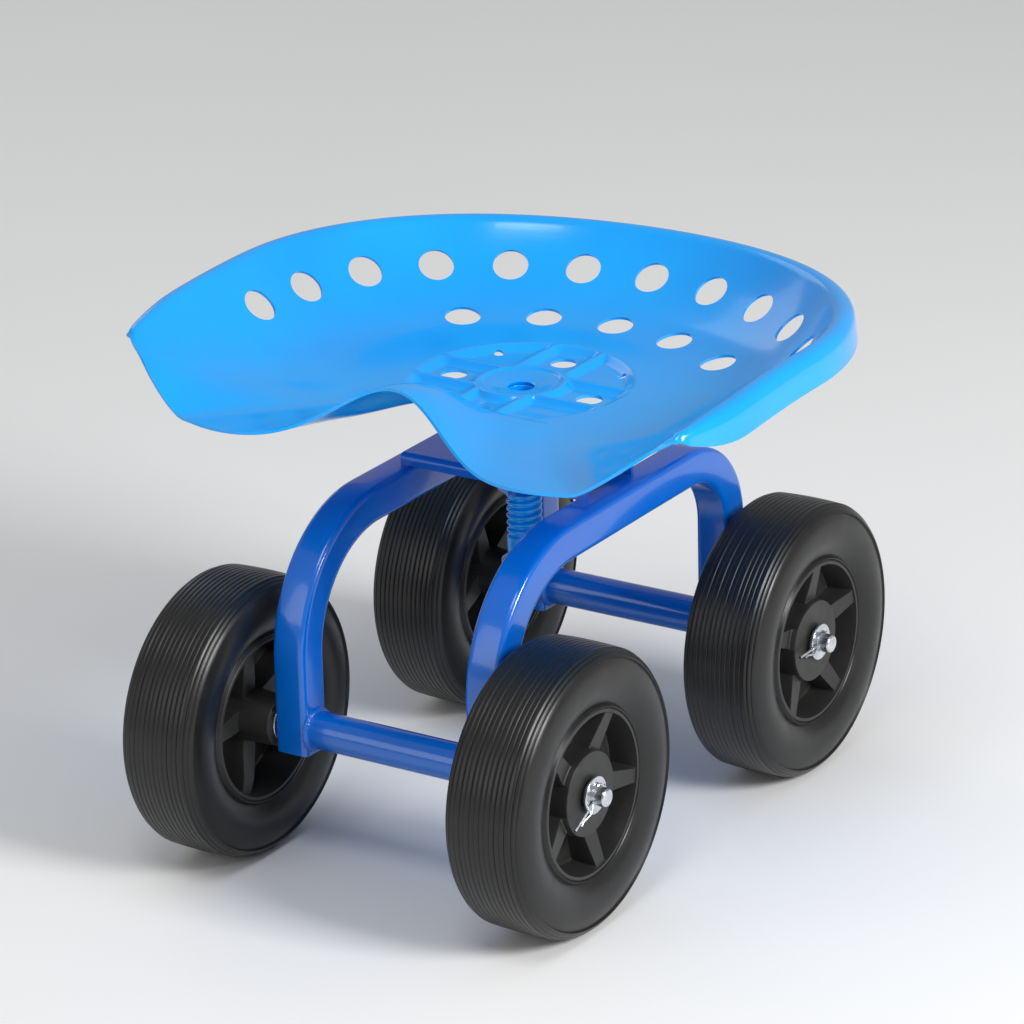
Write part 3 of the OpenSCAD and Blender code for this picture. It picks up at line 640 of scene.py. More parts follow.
    def edge_rise(self, a: Array) -> Array:
        """Height of the wall's top over the flat middle: a cosine pommel and a softly begun rise to the corner
        along the front, a sine along the side and a squared sine round the back.

        Args:
            a: folded angles.
        Returns:
            Heights in millimetres.
        """
        r, s, c = self.reach(a), np.sin(a), np.cos(a)
        x = np.minimum(r * s, self.corner_x)
        u = np.clip(x / self.thigh_x, 0, 1)
        w = np.clip((x - self.thigh_x) / (self.corner_x - self.thigh_x), 0, 1)
        pommel = (self.pommel_rise - self.thigh_rise) * (0.5 * (1 + np.cos(math.pi * u))) ** self.pommel_power
        front = self.thigh_rise + pommel + (self.corner_rise - self.thigh_rise) * eased(w, self.thigh_ease)
        v = np.clip(1 - r * c / self.pommel_reach, 0, 1)
        side = mix(self.corner_rise, self.side_rise, np.sin(v * math.pi / 2))
        back = mix(self.back_rise, self.side_rise, s**2)
        return np.where(a < self.corner(), front, np.where(c > 0, side, back))

    def level(self, a: Array, t: Array) -> tuple:
        """Reach and rise that the bowl follows at a share of the way out: the edge's own, averaged near the
        corners over a window of up to 9 degrees that widens inwards, so that no crease is left in the bowl.

        Args:
            a: folded angles.
            t: shares of the way out.
        Returns:
            Reaches and rises.
        """
        d = np.degrees(a)
        width = math.radians(9.0) * (1 - t) * smooth(34, 50, d) * (1 - smooth(60, 85, d))
        taps = [self.fold(a + width * k) for k in (-1.0, -0.6, -0.2, 0.2, 0.6, 1.0)]
        return tuple(sum(read(tap) for tap in taps) / len(taps) for read in (self.reach, self.rise))

    def flat_reach(self, a: Array) -> Array:
        """Distance from the screw to the edge of the flat middle, cut straight at the toe: min(flat, toe / cos a)."""
        return np.minimum(self.flat_r, self.toe_reach / np.maximum(np.cos(a), 0.1))

    def power(self, a: Array) -> Array:
        """Power of the bowl's section by folded angle, gentle at the front and steep at the sides."""
        d = np.degrees(a)
        return 1.65 + 1.95 * smooth(30, 70, d) - 0.7 * smooth(95, 170, d)

    def rise_share(self, a: Array, t: Array) -> Array:
        """Share of the full rise at a share t of the way out: t to the bowl's power, and at the pommel the round
        section 1 - (1 - s)^2 with s the eased t."""
        return mix(t ** self.power(a), 1 - (1 - eased(t, 0.08)) ** 2, 1 - smooth(24, 46, np.degrees(a)))

    def wall(self, angle: Array, t: Array) -> Array:
        """Point of the bowl's upper face: radius flat + t (reach - flat), height rise times the rise's share.

        Args:
            angle: angles of any sign.
            t: share of the way from the flat middle to the wall's top.
        Returns:
            Points over the flat middle.
        """
        a = self.fold(angle)
        reach, rise = self.level(a, t)
        plan = ahead(mix(self.flat_reach(a), reach, t), angle)
        z = rise * self.rise_share(a, np.maximum(t, 0)) + self.lift(plan[..., 0], plan[..., 1])
        return np.concatenate([plan, z[..., None]], -1)

    def lift(self, x: Array, y: Array) -> Array:
        """Low step in front of the toe: it comes up within 7 mm and fades over 64 mm forwards and 85 sideways."""
        u = self.toe_y - y
        return self.toe_lift * smooth(0, 7, u) * (1 - smooth(14, 64, u)) * (1 - smooth(18, 85, np.abs(x)))

    def share(self, x: Array, y: Array) -> tuple:
        """Angle and share of the way out of a plan point, by four repeats with the level's own reach.

        Args:
            x: plan x.
            y: plan y.
        Returns:
            Angles and shares.
        """
        angle, r = np.arctan2(x, -y), np.hypot(x, y)
        flat = self.flat_reach(np.abs(angle))
        t = (r - flat) / (self.reach(np.abs(angle)) - flat)
        for _ in range(4):
            t = (r - flat) / (self.level(np.abs(angle), np.clip(t, 0, 1))[0] - flat)
        return angle, t

    def height(self, x: Array, y: Array) -> Array:
        """Height of the pan's upper face over a plan point, rosette included."""
        angle, t = self.share(x, y)
        return np.where(t > 0, self.wall(angle, np.clip(t, 0, 1))[..., 2], self.rosette(x, y) + self.lift(x, y))

    def pocket_edge(self, x: Array, y: Array) -> Array:
        """Distance inside the nearest crisp edge of a pocket, a rib's or the ring's, by the soft least
        -ln(e^-kp + e^-kq) / k that rounds the pockets' plan corners; negative on ribs and inside the ring."""
        rib = np.minimum(np.abs(np.abs(x) - self.rib_x), np.abs(np.abs(y) - self.rib_x)) - self.rib_w / 2
        k = 1.1
        return -np.log(np.exp(-k * rib) + np.exp(-k * (np.hypot(x, y) - self.ring_r))) / k

    @staticmethod
    def hollow(u: Array, width: float) -> Array:
        """Share of the full depth at a distance inside a crisp edge: 1 - (1 - u / width)^2, steep at the edge and
        flat at the floor, with u rounded off at 0 over half a millimetre."""
        v = np.log1p(np.exp(np.clip(5.0 * u, -40, 40))) / 5.0
        return 1 - (1 - np.clip(v / width, 0, 1)) ** 2

    def rosette(self, x: Array, y: Array) -> Array:
        """Height of the stamping, 0 or less: pockets with crisp edges at the ribs and the ring and soft ones
        outside, shallower at the toe, a short step down inside the ring, a dish from there to the centre hole
        and a lip down round the hole.

        Args:
            x: plan x.
            y: plan y.
        Returns:
            Heights.
        """
        r = np.hypot(x, y)
        outside = smooth(0, self.outer_slope, self.pocket_r - r) * smooth(-62.6, -58.6, y)
        depth = self.pocket_depth - 1.6 * smooth(34, 56, -y)
        pocket = -depth * self.hollow(self.pocket_edge(x, y), self.pocket_slope) * outside
        step = -self.recess_step * self.hollow(self.recess_r - r, self.recess_slope)
        dish = -self.dish_depth * (1 - smooth(10.0, self.recess_r - 2.4, r))
        return pocket + step + (dish - 0.7 * (1 - smooth(self.centre_hole_r, 10.4, r)))

    def vents(self) -> list:
        """Centre angle and share of the edge's reach of each vent hole: 13 round the bowl, a little closer
        together towards the front, and 5 nearer the middle, counted from the back."""
        outer = (0.876, 0.876, 0.880, 0.891, 0.902, 0.904, 0.910)
        inner = (0.623, 0.629, 0.655)
        spots = [(math.radians(i * (17.8 - 0.24 * abs(i))), outer[abs(i)]) for i in range(-6, 7)]
        spots += [(math.radians(25.0 * i), inner[abs(i)]) for i in range(-2, 3)]
        return [(math.pi + a, s) for a, s in spots]

    def holes(self) -> list:
        """Every hole: the vents, square to the bowl, and those of the rosette, upright."""
        found, step = [], self.nudge
        for angle, whole in self.vents():
            folded = self.fold(np.array(angle))
            reach, flat = float(self.reach(folded)), float(self.flat_reach(folded))
            t = (whole * reach - flat) / (reach - flat)
            spots = ((0, 0), (-step, 0), (step, 0), (0, -step))
            p, left, right, inner = (self.wall(np.array(angle + a), np.array(t + b)) for a, b in spots)
            found.append(Hole(p, unit(np.cross(p - inner, right - left)), self.vent_r))
        quarters = [k * math.pi / 2 for k in range(4)]
        spots = [(0.0, 0.0, self.centre_hole_r)]
        spots += [(self.bolt_circle_r * math.cos(q), self.bolt_circle_r * math.sin(q), self.bolt_hole_r)
                  for q in quarters]
        spots += [(side * self.rear_hole, self.rear_hole, self.rear_hole_r) for side in (-1, 1)]
        for x, y, r in spots:
            found.append(Hole(np.array([x, y, float(self.height(np.array(x), np.array(y)))]), UP, r))
        return found

    def ring(self, hole: Hole, grow: float) -> Array:
        """Points of a circle on the pan round a hole: the circle in the hole's own plane, moved along its normal
        until it meets the upper face.

        Args:
            hole: the hole.
            grow: how much larger than the hole.
        Returns:
            Points of the ring.
        """
        n = hole.normal
        e = unit(np.cross(np.array([0.0, 1.0, 0.0]), n))
        c = circle(hole.radius + grow, self.hole_points)
        q = hole.centre + c[:, :1] * e + c[:, 1:] * np.cross(n, e)
        for _ in range(8):
            q = q + ((self.height(q[:, 0], q[:, 1]) - q[:, 2]) * n[2])[:, None] * n
        return q

    def flat_map(self, p: Array) -> Array:
        """Unrolled place of a plan point: the angle and the flat middle stay, and a share t of the wall goes to
        the radius flat + t (half width - flat)."""
        angle, t = self.share(p[:, 0], p[:, 1])
        flat = self.flat_reach(np.abs(angle))
        return ahead(np.where(t > 0, mix(flat, self.half_w, t), np.hypot(p[:, 0], p[:, 1])), angle)

    def unmap(self, d: Array) -> Array:
        """Point of the upper face at an unrolled place."""
        x, y = d.T
        angle = np.arctan2(x, -y)
        flat = self.flat_reach(np.abs(angle))
        t = (np.hypot(x, y) - flat) / (self.half_w - flat)
        inside = np.stack([x, y, self.rosette(x, y) + self.lift(x, y)], -1)
        return np.where((t > 0)[:, None], self.wall(angle, np.clip(t, 0, 1)), inside)

    def angles(self) -> Array:
        """Column angles round the pan, closer together within 7 degrees of each front corner."""
        corner, half = self.corner(), math.radians(7.0)
        low, high = corner - half, corner + half
        stretches = ((-low, low, 0.28), (low, high, 0.1), (high, TURN - high, 0.52), (TURN - high, TURN - low, 0.1))
        return np.concatenate([np.linspace(a, b, int(self.columns * part), endpoint=False)
                               for a, b, part in stretches])

    def roll(self, angles: Array) -> Array:
        """Rows of the rolled rim for each column: the face turns from the wall's slope to almost straight down
        on a small radius in the plane square to the rim, then drops straight. The roll starts as a small lip
        before the corner and reaches its full size behind it; the turn grows first, then radius and drop.

        Args:
            angles: column angles.
        Returns:
            Points shaped rows, columns, 3.
        """
        a = self.fold(angles)
        reach = self.reach(a)
        behind = self.corner_x / math.tan(self.corner()) - reach * np.cos(a)
        grown = 1 - (1 - np.clip(behind / self.roll_grows, 0, 1)) ** 2
        started = smooth(self.lip_from_x, self.corner_x, reach * np.sin(a))
        size = np.where(a > self.corner(), mix(self.lip_share, 1.0, grown), self.lip_share * started)

        either = [ahead(self.reach(self.fold(q)), q) for q in (angles - self.nudge, angles + self.nudge)]
        d = either[1] - either[0]
        n = unit(np.stack([d[:, 1], -d[:, 0]], -1))
        facing = np.maximum((n * ahead(1.0, angles)).sum(-1), 0.5)
        slope = np.arctan(self.power(a) * self.rise(a) / (reach - self.flat_reach(a)) / facing)
        end = mix(slope, math.radians(self.rim_end), np.minimum(size / 0.35, 1))
        turn = slope + (end - slope) * np.linspace(0, 1, self.roll_rows)[:, None]
        radius = self.rim_r * mix(0.25, 1.0, size)
        out = radius * (np.sin(slope) - np.sin(turn))
        up = radius * (np.cos(turn) - np.cos(slope))
        drops = np.linspace(0, 1, 5)[1:, None] * self.rim_drop * size
        out = np.vstack([out, out[-1] + drops * np.cos(end)])
        up = np.vstack([up, up[-1] + drops * np.sin(end)])
        top = self.wall(angles, np.ones_like(angles))
        return np.stack([top[:, 0] + n[:, 0] * out, top[:, 1] + n[:, 1] * out, top[:, 2] + up], -1)

    def staggered(self, step: float) -> Array:
        """Staggered grid of plan points over the flat middle."""
        g = np.arange(-self.flat_r, self.flat_r, step)
        gx, gy = np.meshgrid(g, g)
        gx = gx + 0.5 * step * (np.arange(len(g)) % 2)[:, None]
        p = np.stack([gx.ravel(), gy.ravel()], -1)
        return p[np.hypot(*p.T) < self.flat_reach(np.abs(np.arctan2(p[:, 0], -p[:, 1]))) - 0.5 * step]

    def rank(self, p: Array) -> Array:
        """Fineness that plan points of the flat middle need: 0 close to a crisp edge, 1 where the stamping
        slopes, 2 elsewhere."""
        near, r = self.pocket_edge(p[:, 0], p[:, 1]), np.hypot(*p.T)
        crisp = (np.abs(near - 0.15) < 0.75) | (np.abs(r - self.recess_r + 0.2) < 0.8)
        inner = (r > self.recess_r - 3.6) & (r < self.recess_r + 1.2)
        outer = (r > self.pocket_r - self.outer_slope - 1.5) | (p[:, 1] < -56.0)
        sloped = ((near > -1.4) & (near < self.pocket_slope + 0.8)) | inner | outer
        return np.where(crisp & (r < self.pocket_r - 0.5), 0, np.where(sloped, 1, 2))

    def loose_points(self, angles: Array, edge: float) -> Array:
        """Unrolled points between the constraints: the flat middle, finest at crisp edges, and rings of the wall.

        Args:
            angles: column angles.
            edge: share of the way out at which the triangulation ends.
        Returns:
            Points in the unrolled plane.
        """
        grids = [self.staggered(step) for step in self.steps]
        middle = [points[self.rank(points) == i] for i, points in enumerate(grids)]
        t = edge * (1 - (1 - np.linspace(0, 1, self.wall_rows)) ** 1.25)[1:-1, None]
        wall = ahead(mix(self.flat_reach(self.fold(angles))[None], self.half_w, t), angles)
        return np.vstack(middle + [wall[:, ::2].reshape(-1, 2)])

    def clear_of(self, loose: Array, hole: Hole) -> Array:
        """Loose points without those that lie in or too close to a hole, judged by angle round its centre."""
        centre = self.flat_map(hole.centre[None])[0]
        outline, from_centre = self.flat_map(self.ring(hole, 2.9)) - centre, loose - centre
        turn = np.arctan2(outline[:, 1], outline[:, 0])
        order = np.argsort(turn)
        at = np.arctan2(from_centre[:, 1], from_centre[:, 0])
        limit = np.interp(at, turn[order], np.hypot(*outline.T)[order], period=TURN)
        return loose[np.hypot(*from_centre.T) >= limit]

    def bowl(self, angles: Array, edge: float) -> Surface:
        """The upper face inside the rim: a triangulation of the unrolled pan that keeps its holes and border,
        lifted to shape.

        Args:
            angles: column angles.
            edge: share of the way out at which it ends.
        Returns:
            The open surface.
        """
        holes = self.holes()
        border = ahead(mix(self.flat_reach(self.fold(angles)), self.half_w, edge), angles)
        loose = self.loose_points(angles, edge)
        for hole in holes:
            loose = self.clear_of(loose, hole)
        outlines = [border] + [self.flat_map(self.ring(hole, 0.0)) for hole in holes]
        support = [self.flat_map(self.ring(hole, grow)) for hole in holes for grow in (0.9, 2.2)]
        edges, start = [], 0
        for outline in outlines:
            i = np.arange(len(outline))
            edges += np.stack([start + i, start + (i + 1) % len(outline)], -1).tolist()
            start += len(outline)
        flat = np.vstack(outlines + support + [loose])
        verts, _, faces, _, _, _ = delaunay_2d_cdt([Vector(p) for p in flat.tolist()], edges, [], 1, 1e-7, False)
        placed, triangles = np.array([tuple(v) for v in verts]), np.array(faces)
        lifted = self.unmap(placed)

        middle_of = lifted[triangles].mean(1)
        keep = np.ones(len(triangles), bool)
        for hole in holes:
            away = middle_of - hole.centre
            along = away @ hole.normal
            off_axis = np.linalg.norm(away - along[:, None] * hole.normal, axis=1)
            keep &= ~((off_axis < hole.radius * 0.999) & (np.abs(along) < 12))
        triangles = triangles[keep]
        one, two = (placed[triangles[:, k]] - placed[triangles[:, 0]] for k in (1, 2))
        under = one[:, 0] * two[:, 1] - one[:, 1] * two[:, 0] < 0
        triangles[under] = triangles[under][:, ::-1]
        return Surface(lifted, [tuple(f) for f in triangles.tolist()])

    def build(self, shop: Workshop) -> None:
        """Makes the pan: the bowl with the rolled rim as a grid round it, then its thickness and rounded edges.

        Args:
            shop: the workshop.
        """
        angles, edge = self.angles(), self.bowl_share
        rows = [self.wall(angles, np.full(len(angles), t))[None] for t in (edge, (1 + edge) / 2)]
        rim = grid(np.vstack(rows + [self.roll(angles)]), wrap_rows=False)
        surface = self.bowl(angles, edge).joined(rim).moved(UPRIGHT, (0, self.centre_y, self.base_z))
        piece = shop.piece("pan_pressing", surface, Slot.SEAT_PAINT, Body.SEAT.value, ["seat_pan"],
                           sharp=50.0, merge=2e-5)
        with edited(piece.data) as work:
            work.normal_update()
            if sum(f.normal.z * f.calc_area() for f in work.faces) < 0:
                bmesh.ops.reverse_faces(work, faces=work.faces)
        thick = piece.modifiers.new("sheet", "SOLIDIFY")
        thick.thickness, thick.offset, thick.use_even_offset = self.sheet * MM, -1.0, True
        bevel = piece.modifiers.new("edge", "BEVEL")
        bevel.width, bevel.segments, bevel.harden_normals = self.edge_bevel * MM, 2, True
        bevel.limit_method, bevel.angle_limit = "ANGLE", math.radians(60)


# ---------------------------------------------------------------- screw, flange, nut and stop


@dataclass
class LiftScrew:
    """The lifting screw with its flange, its nut under the channel, its stop washer and its end bolt."""

    centre_y: float = 15.0
    crest: float = 12.0
    root: float = 9.25
    pitch: float = 5.0
    low: float = 172.0
    thread_low: float = 188.0
    high: float = 286.0
    columns: int = 64
    flange_r: float = 38.0
    flange_t: float = 5.0
    flange_hole_r: float = 8.8
    weld_size: float = 2.1
    weld_ripples: int = 26
    nut_low: float = 221.0
    nut_high: float = 243.0
    nut_af: float = 32.0
    nut_gap: float = 0.35
    stop_r: float = 16.0
    stop_top: float = 171.8
    stop_t: float = 2.5
    bolt_r: float = 5.0
    bolt_af: float = 17.0
    bolt_head: float = 6.4

    def helix(self, low: float, high: float, gap: float, ease_ends: bool) -> Array:
        """Grid of the rope thread's face between two heights: columns round, rows up. The phase is height over
        pitch less the turn, and the radius is the middle plus half the depth times a softly squared cosine.

        Args:
            low: lowest height.
            high: highest height.
            gap: added radius.
            ease_ends: whether the groove runs out to the crest at the ends.
        Returns:
            Points shaped rows, columns, 3.
        """
        a = around(self.columns)
        z = np.linspace(low, high, int((high - low) / self.pitch * 14) + 1)[:, None]
        phase = ((z - self.thread_low) / self.pitch - a[None] / TURN) % 1.0
        wave = np.cos(TURN * (phase - 0.4))
        soft = np.clip(wave / np.sqrt(wave**2 + 0.35) * math.sqrt(1.35), -1, 1)
        r = (self.crest + self.root) / 2 + gap + (self.crest - self.root) / 2 * soft
        if ease_ends:
            r = mix(self.crest + gap, r, smooth(low, low + 4, z) * (1 - smooth(high - 4, high, z)))
        return polar(r, a, z)

    def screw(self) -> Surface:
        """The post: a hollow end, the thread and a plain top."""
        a = around(self.columns)
        foot = [[5.1, self.low + 1], [5.6, self.low], [self.crest - 1.2, self.low], [self.crest, self.low + 1.2]]
        head = [[self.crest, self.high], [5.1, self.high]]
        foot, head = (polar(line[:, :1], a, line[:, 1:]) for line in map(np.array, (foot, head)))
        return grid(np.vstack([foot, self.helix(self.thread_low - 2, self.high - 2, 0.0, True), head]))

    def flange(self) -> Surface:
        """The round plate under the pan and the rippled weld bead between it and the screw."""
        cuts = [0.4, 0.8, 0.8, 0.4]
        plate = sleeve(self.flange_hole_r, self.flange_r, self.high, self.high + self.flange_t, cuts, 3, 128)
        a = around(160)
        bead = self.weld_size + 0.2 * np.cos(a * self.weld_ripples)
        q = np.linspace(0, math.pi / 2, 6)[:, None]
        r = np.vstack([self.crest - 0.6 + bead * np.cos(q) ** 0.8, np.full((1, 160), self.crest - 1.5)])
        z = self.high - 0.05 - np.vstack([bead * np.sin(q) ** 0.8, np.zeros((1, 160))])
        return plate.joined(grid(polar(r, a, z)))

    @staticmethod
    def hexagon(af: float, count: int) -> Array:
        """Radius of a hexagon of a width across the flats, at evenly spaced angles."""
        return af / 2 / np.cos((around(count) + math.pi / 6) % (math.pi / 3) - math.pi / 6)

    def bolt(self, top: float) -> Surface:
        """The end bolt: a hexagon head chamfered by a cone at both ends, and its shank up into the screw.

        Args:
            top: height of the head's upper face.
        Returns:
            The closed surfaces.
        """
        low, flat, count = top - self.bolt_head, self.bolt_af / 2, 96
        chamfer = (0.56 * self.bolt_af - flat) * 0.45 * np.array([0.5, 1.5, 3, 3, 1.5, 0.5])[:, None]
        body = np.minimum(self.hexagon(self.bolt_af, count), flat + chamfer)
        end = np.broadcast_to([[1e-4], [flat - 0.6]], (2, count))
        rise = np.array([0, 0, 0.7, 1.5, 2.2])
        heights = np.concatenate([low + rise, (top - rise)[::-1]])[:, None]
        head = grid(polar(np.vstack([end, body, end[::-1]]), around(count), heights))
        return head.joined(sleeve(0, self.bolt_r, top - 0.5, self.low + 14, [0, 0, 1, 0], 3, 48))

    def nut(self) -> Surface:
        """The threaded nut that is welded under the channel, its lower end chamfered."""
        flat, side = self.nut_af / 2, self.hexagon(self.nut_af, self.columns)
        cut, low, high = np.minimum(side, flat + 1.0), self.nut_low, self.nut_high
        radii = np.stack([np.full(self.columns, flat - 1.0), cut, side, side, cut])
        outer = polar(radii, around(self.columns), np.array([low, low + 1.0, low + 2.4, high - 1.2, high])[:, None])
        return grid(np.vstack([outer, self.helix(low, high, self.nut_gap, False)[::-1]]))

    def build(self, shop: Workshop) -> None:
        """Makes every piece of the lift.

        Args:
            shop: the workshop.
        """
        under = self.stop_top - self.stop_t
        washer = sleeve(5.2, self.stop_r, under, self.stop_top, [0.2, 0.6, 0.3, 0.2], 3, 96)
        seat, stop, frame = Body.SEAT.value, Body.STOP.value, Body.FRAME.value
        for name, surface, slot, body, node, sharp in (
                ("lift_screw", self.screw(), Slot.SEAT_PAINT, seat, "screw_post", 50),
                ("seat_flange_plate", self.flange(), Slot.SEAT_PAINT, seat, "seat_flange", 38),
                ("lift_nut", self.nut(), Slot.FRAME_PAINT, frame, "screw_nut", 40),
                ("loose_stop_washer", washer, Slot.ZINC, stop, "stop_washer", 38),
                ("end_bolt_m10", self.bolt(under - 0.2), Slot.ZINC, seat, "end_bolt", 38)):
            shop.piece(name, surface.moved(UPRIGHT, (0, self.centre_y, 0)), slot, body, [node], sharp)


# ---------------------------------------------------------------- arches, channel and axle tubes


@dataclass
class Chassis:
    """Two bent arches, the axle tubes and the welds that join them; the cross channel is the CAD's own."""

    arch_x: float = 74.5
    axle_y: float = 145.0
    axle_z: float = 95.25
    leg_z: float = 79.0
    top_z: float = 225.5
    tube: float = 25.0
    wall: float = 1.6
    corner: float = 4.0
    front_bend: float = 82.5
    rear_bend: float = 55.0
    axle_tube_r: float = 12.7
    weld_r: float = 2.2
    ripple: float = 2.2

    def path(self) -> Array:
        """Middle line of an arch in [y, z]: leg, bend, bar, bend, leg."""
        f, b = self.front_bend, self.rear_bend
        front = arc([-self.axle_y + f, self.top_z - f], f, 180, -90, 30)
        rear = arc([self.axle_y - b, self.top_z - b], b, 90, -90, 26)
        low, high = np.array([[-self.axle_y, self.leg_z]]), np.array([[self.axle_y, self.leg_z]])
        return np.vstack([low, mix(low, front[:1], 0.5), front, mix(front[-1:], rear[:1], 0.5),
                          rear, mix(rear[-1:], high, 0.5), high])

    def arch(self, x: float) -> Surface:
        """One hollow arch: the outer face forward along the path, then the inner face back, joined at both ends
        over a small lip.

        Args:
            x: the arch's middle.
        Returns:
            The closed surface.
        """
        line, lip = self.path(), 0.5
        path = np.column_stack([np.full(len(line), x), line])
        d = unit(np.gradient(path, axis=0))
        d[:2], d[-2:] = (0, 0, 1), (0, 0, -1)

        def tube(inset: float) -> Array:
            """The rounded square of the tube, inset by a distance, carried along the path."""
            h, c = self.tube / 2 - inset, max(self.corner - inset, 1.0)
            outline = rounded([[-h, -h], [h, -h], [h, h], [-h, h]], c * 1.15, 6)
            return carried(path, d, outline, np.array([1.0, 0.0, 0.0]))

        outer, ends, inner = tube(0.0), tube(lip), tube(self.wall)
        outer[[0, -1], :, 2] += lip
        return grid(np.concatenate([ends[:1], outer, ends[-1:], inner[::-1]]))

    def bead(self, path: Array, out: Array) -> Surface:
        """A weld bead along a closed path: a rounded section whose size swells along the path in even ripples.

        Args:
            path: points of the path.
            out: unit vectors that the bead bulges towards.
        Returns:
            The closed bead.
        """
        path, out = (np.vstack([line, line[:1]]) for line in (path, out))
        length = np.concatenate([[0], np.cumsum(np.linalg.norm(np.diff(path, axis=0), axis=1))])
        whole = length[-1]
        s = np.linspace(0, whole, max(int(whole / 0.55), 24), endpoint=False)
        p, o = (np.stack([np.interp(s, length, axis) for axis in line.T], -1) for line in (path, out))
        o = unit(o)
        side = np.cross(unit(np.roll(p, -1, 0) - np.roll(p, 1, 0)), o)
        swell = self.weld_r * (1 + 0.09 * np.cos(TURN * s / (whole / max(round(whole / self.ripple), 1))))
        section = circle(1.0, 10)[None, :, :, None]
        around_path = section[:, :, 0] * o[:, None] * 0.62 + section[:, :, 1] * side[:, None]
        return grid(p[:, None] + swell[:, None, None] * around_path, flip=True)

    def build(self, shop: Workshop) -> None:
        """Makes the frame's pieces.

        Args:
            shop: the workshop.
        """
        sides, slot, body = (("left", -1), ("right", 1)), Slot.FRAME_PAINT, Body.FRAME.value
        for name, sign in sides:
            shop.piece(f"arch_tube_{name}", self.arch(sign * self.arch_x), slot, body, [f"arch_{name}"], sharp=40)
        shop.keep("cross_channel", slot)
        r, face = self.axle_tube_r, self.arch_x - self.tube / 2
        pipe = sleeve(r - self.wall, r, -face, face, 0.05, 1, 96)
        for name, sign in (("front", -1), ("rear", 1)):
            at = (0, sign * self.axle_y, self.axle_z)
            shop.piece(f"axle_tube_{name}_pipe", pipe.moved(ALONG_X, at), slot, body, [f"axle_tube_{name}"])
            for side, s in sides:
                c = circle(r + 0.9, 48)
                path = np.column_stack([np.full(48, s * (face - 0.8)), c + at[1:]])
                out = unit(np.column_stack([np.full(48, -s * 0.8), c / r]))
                shop.piece(f"axle_weld_{name}_{side}", self.bead(path, out), slot, body)


# ---------------------------------------------------------------- wheels


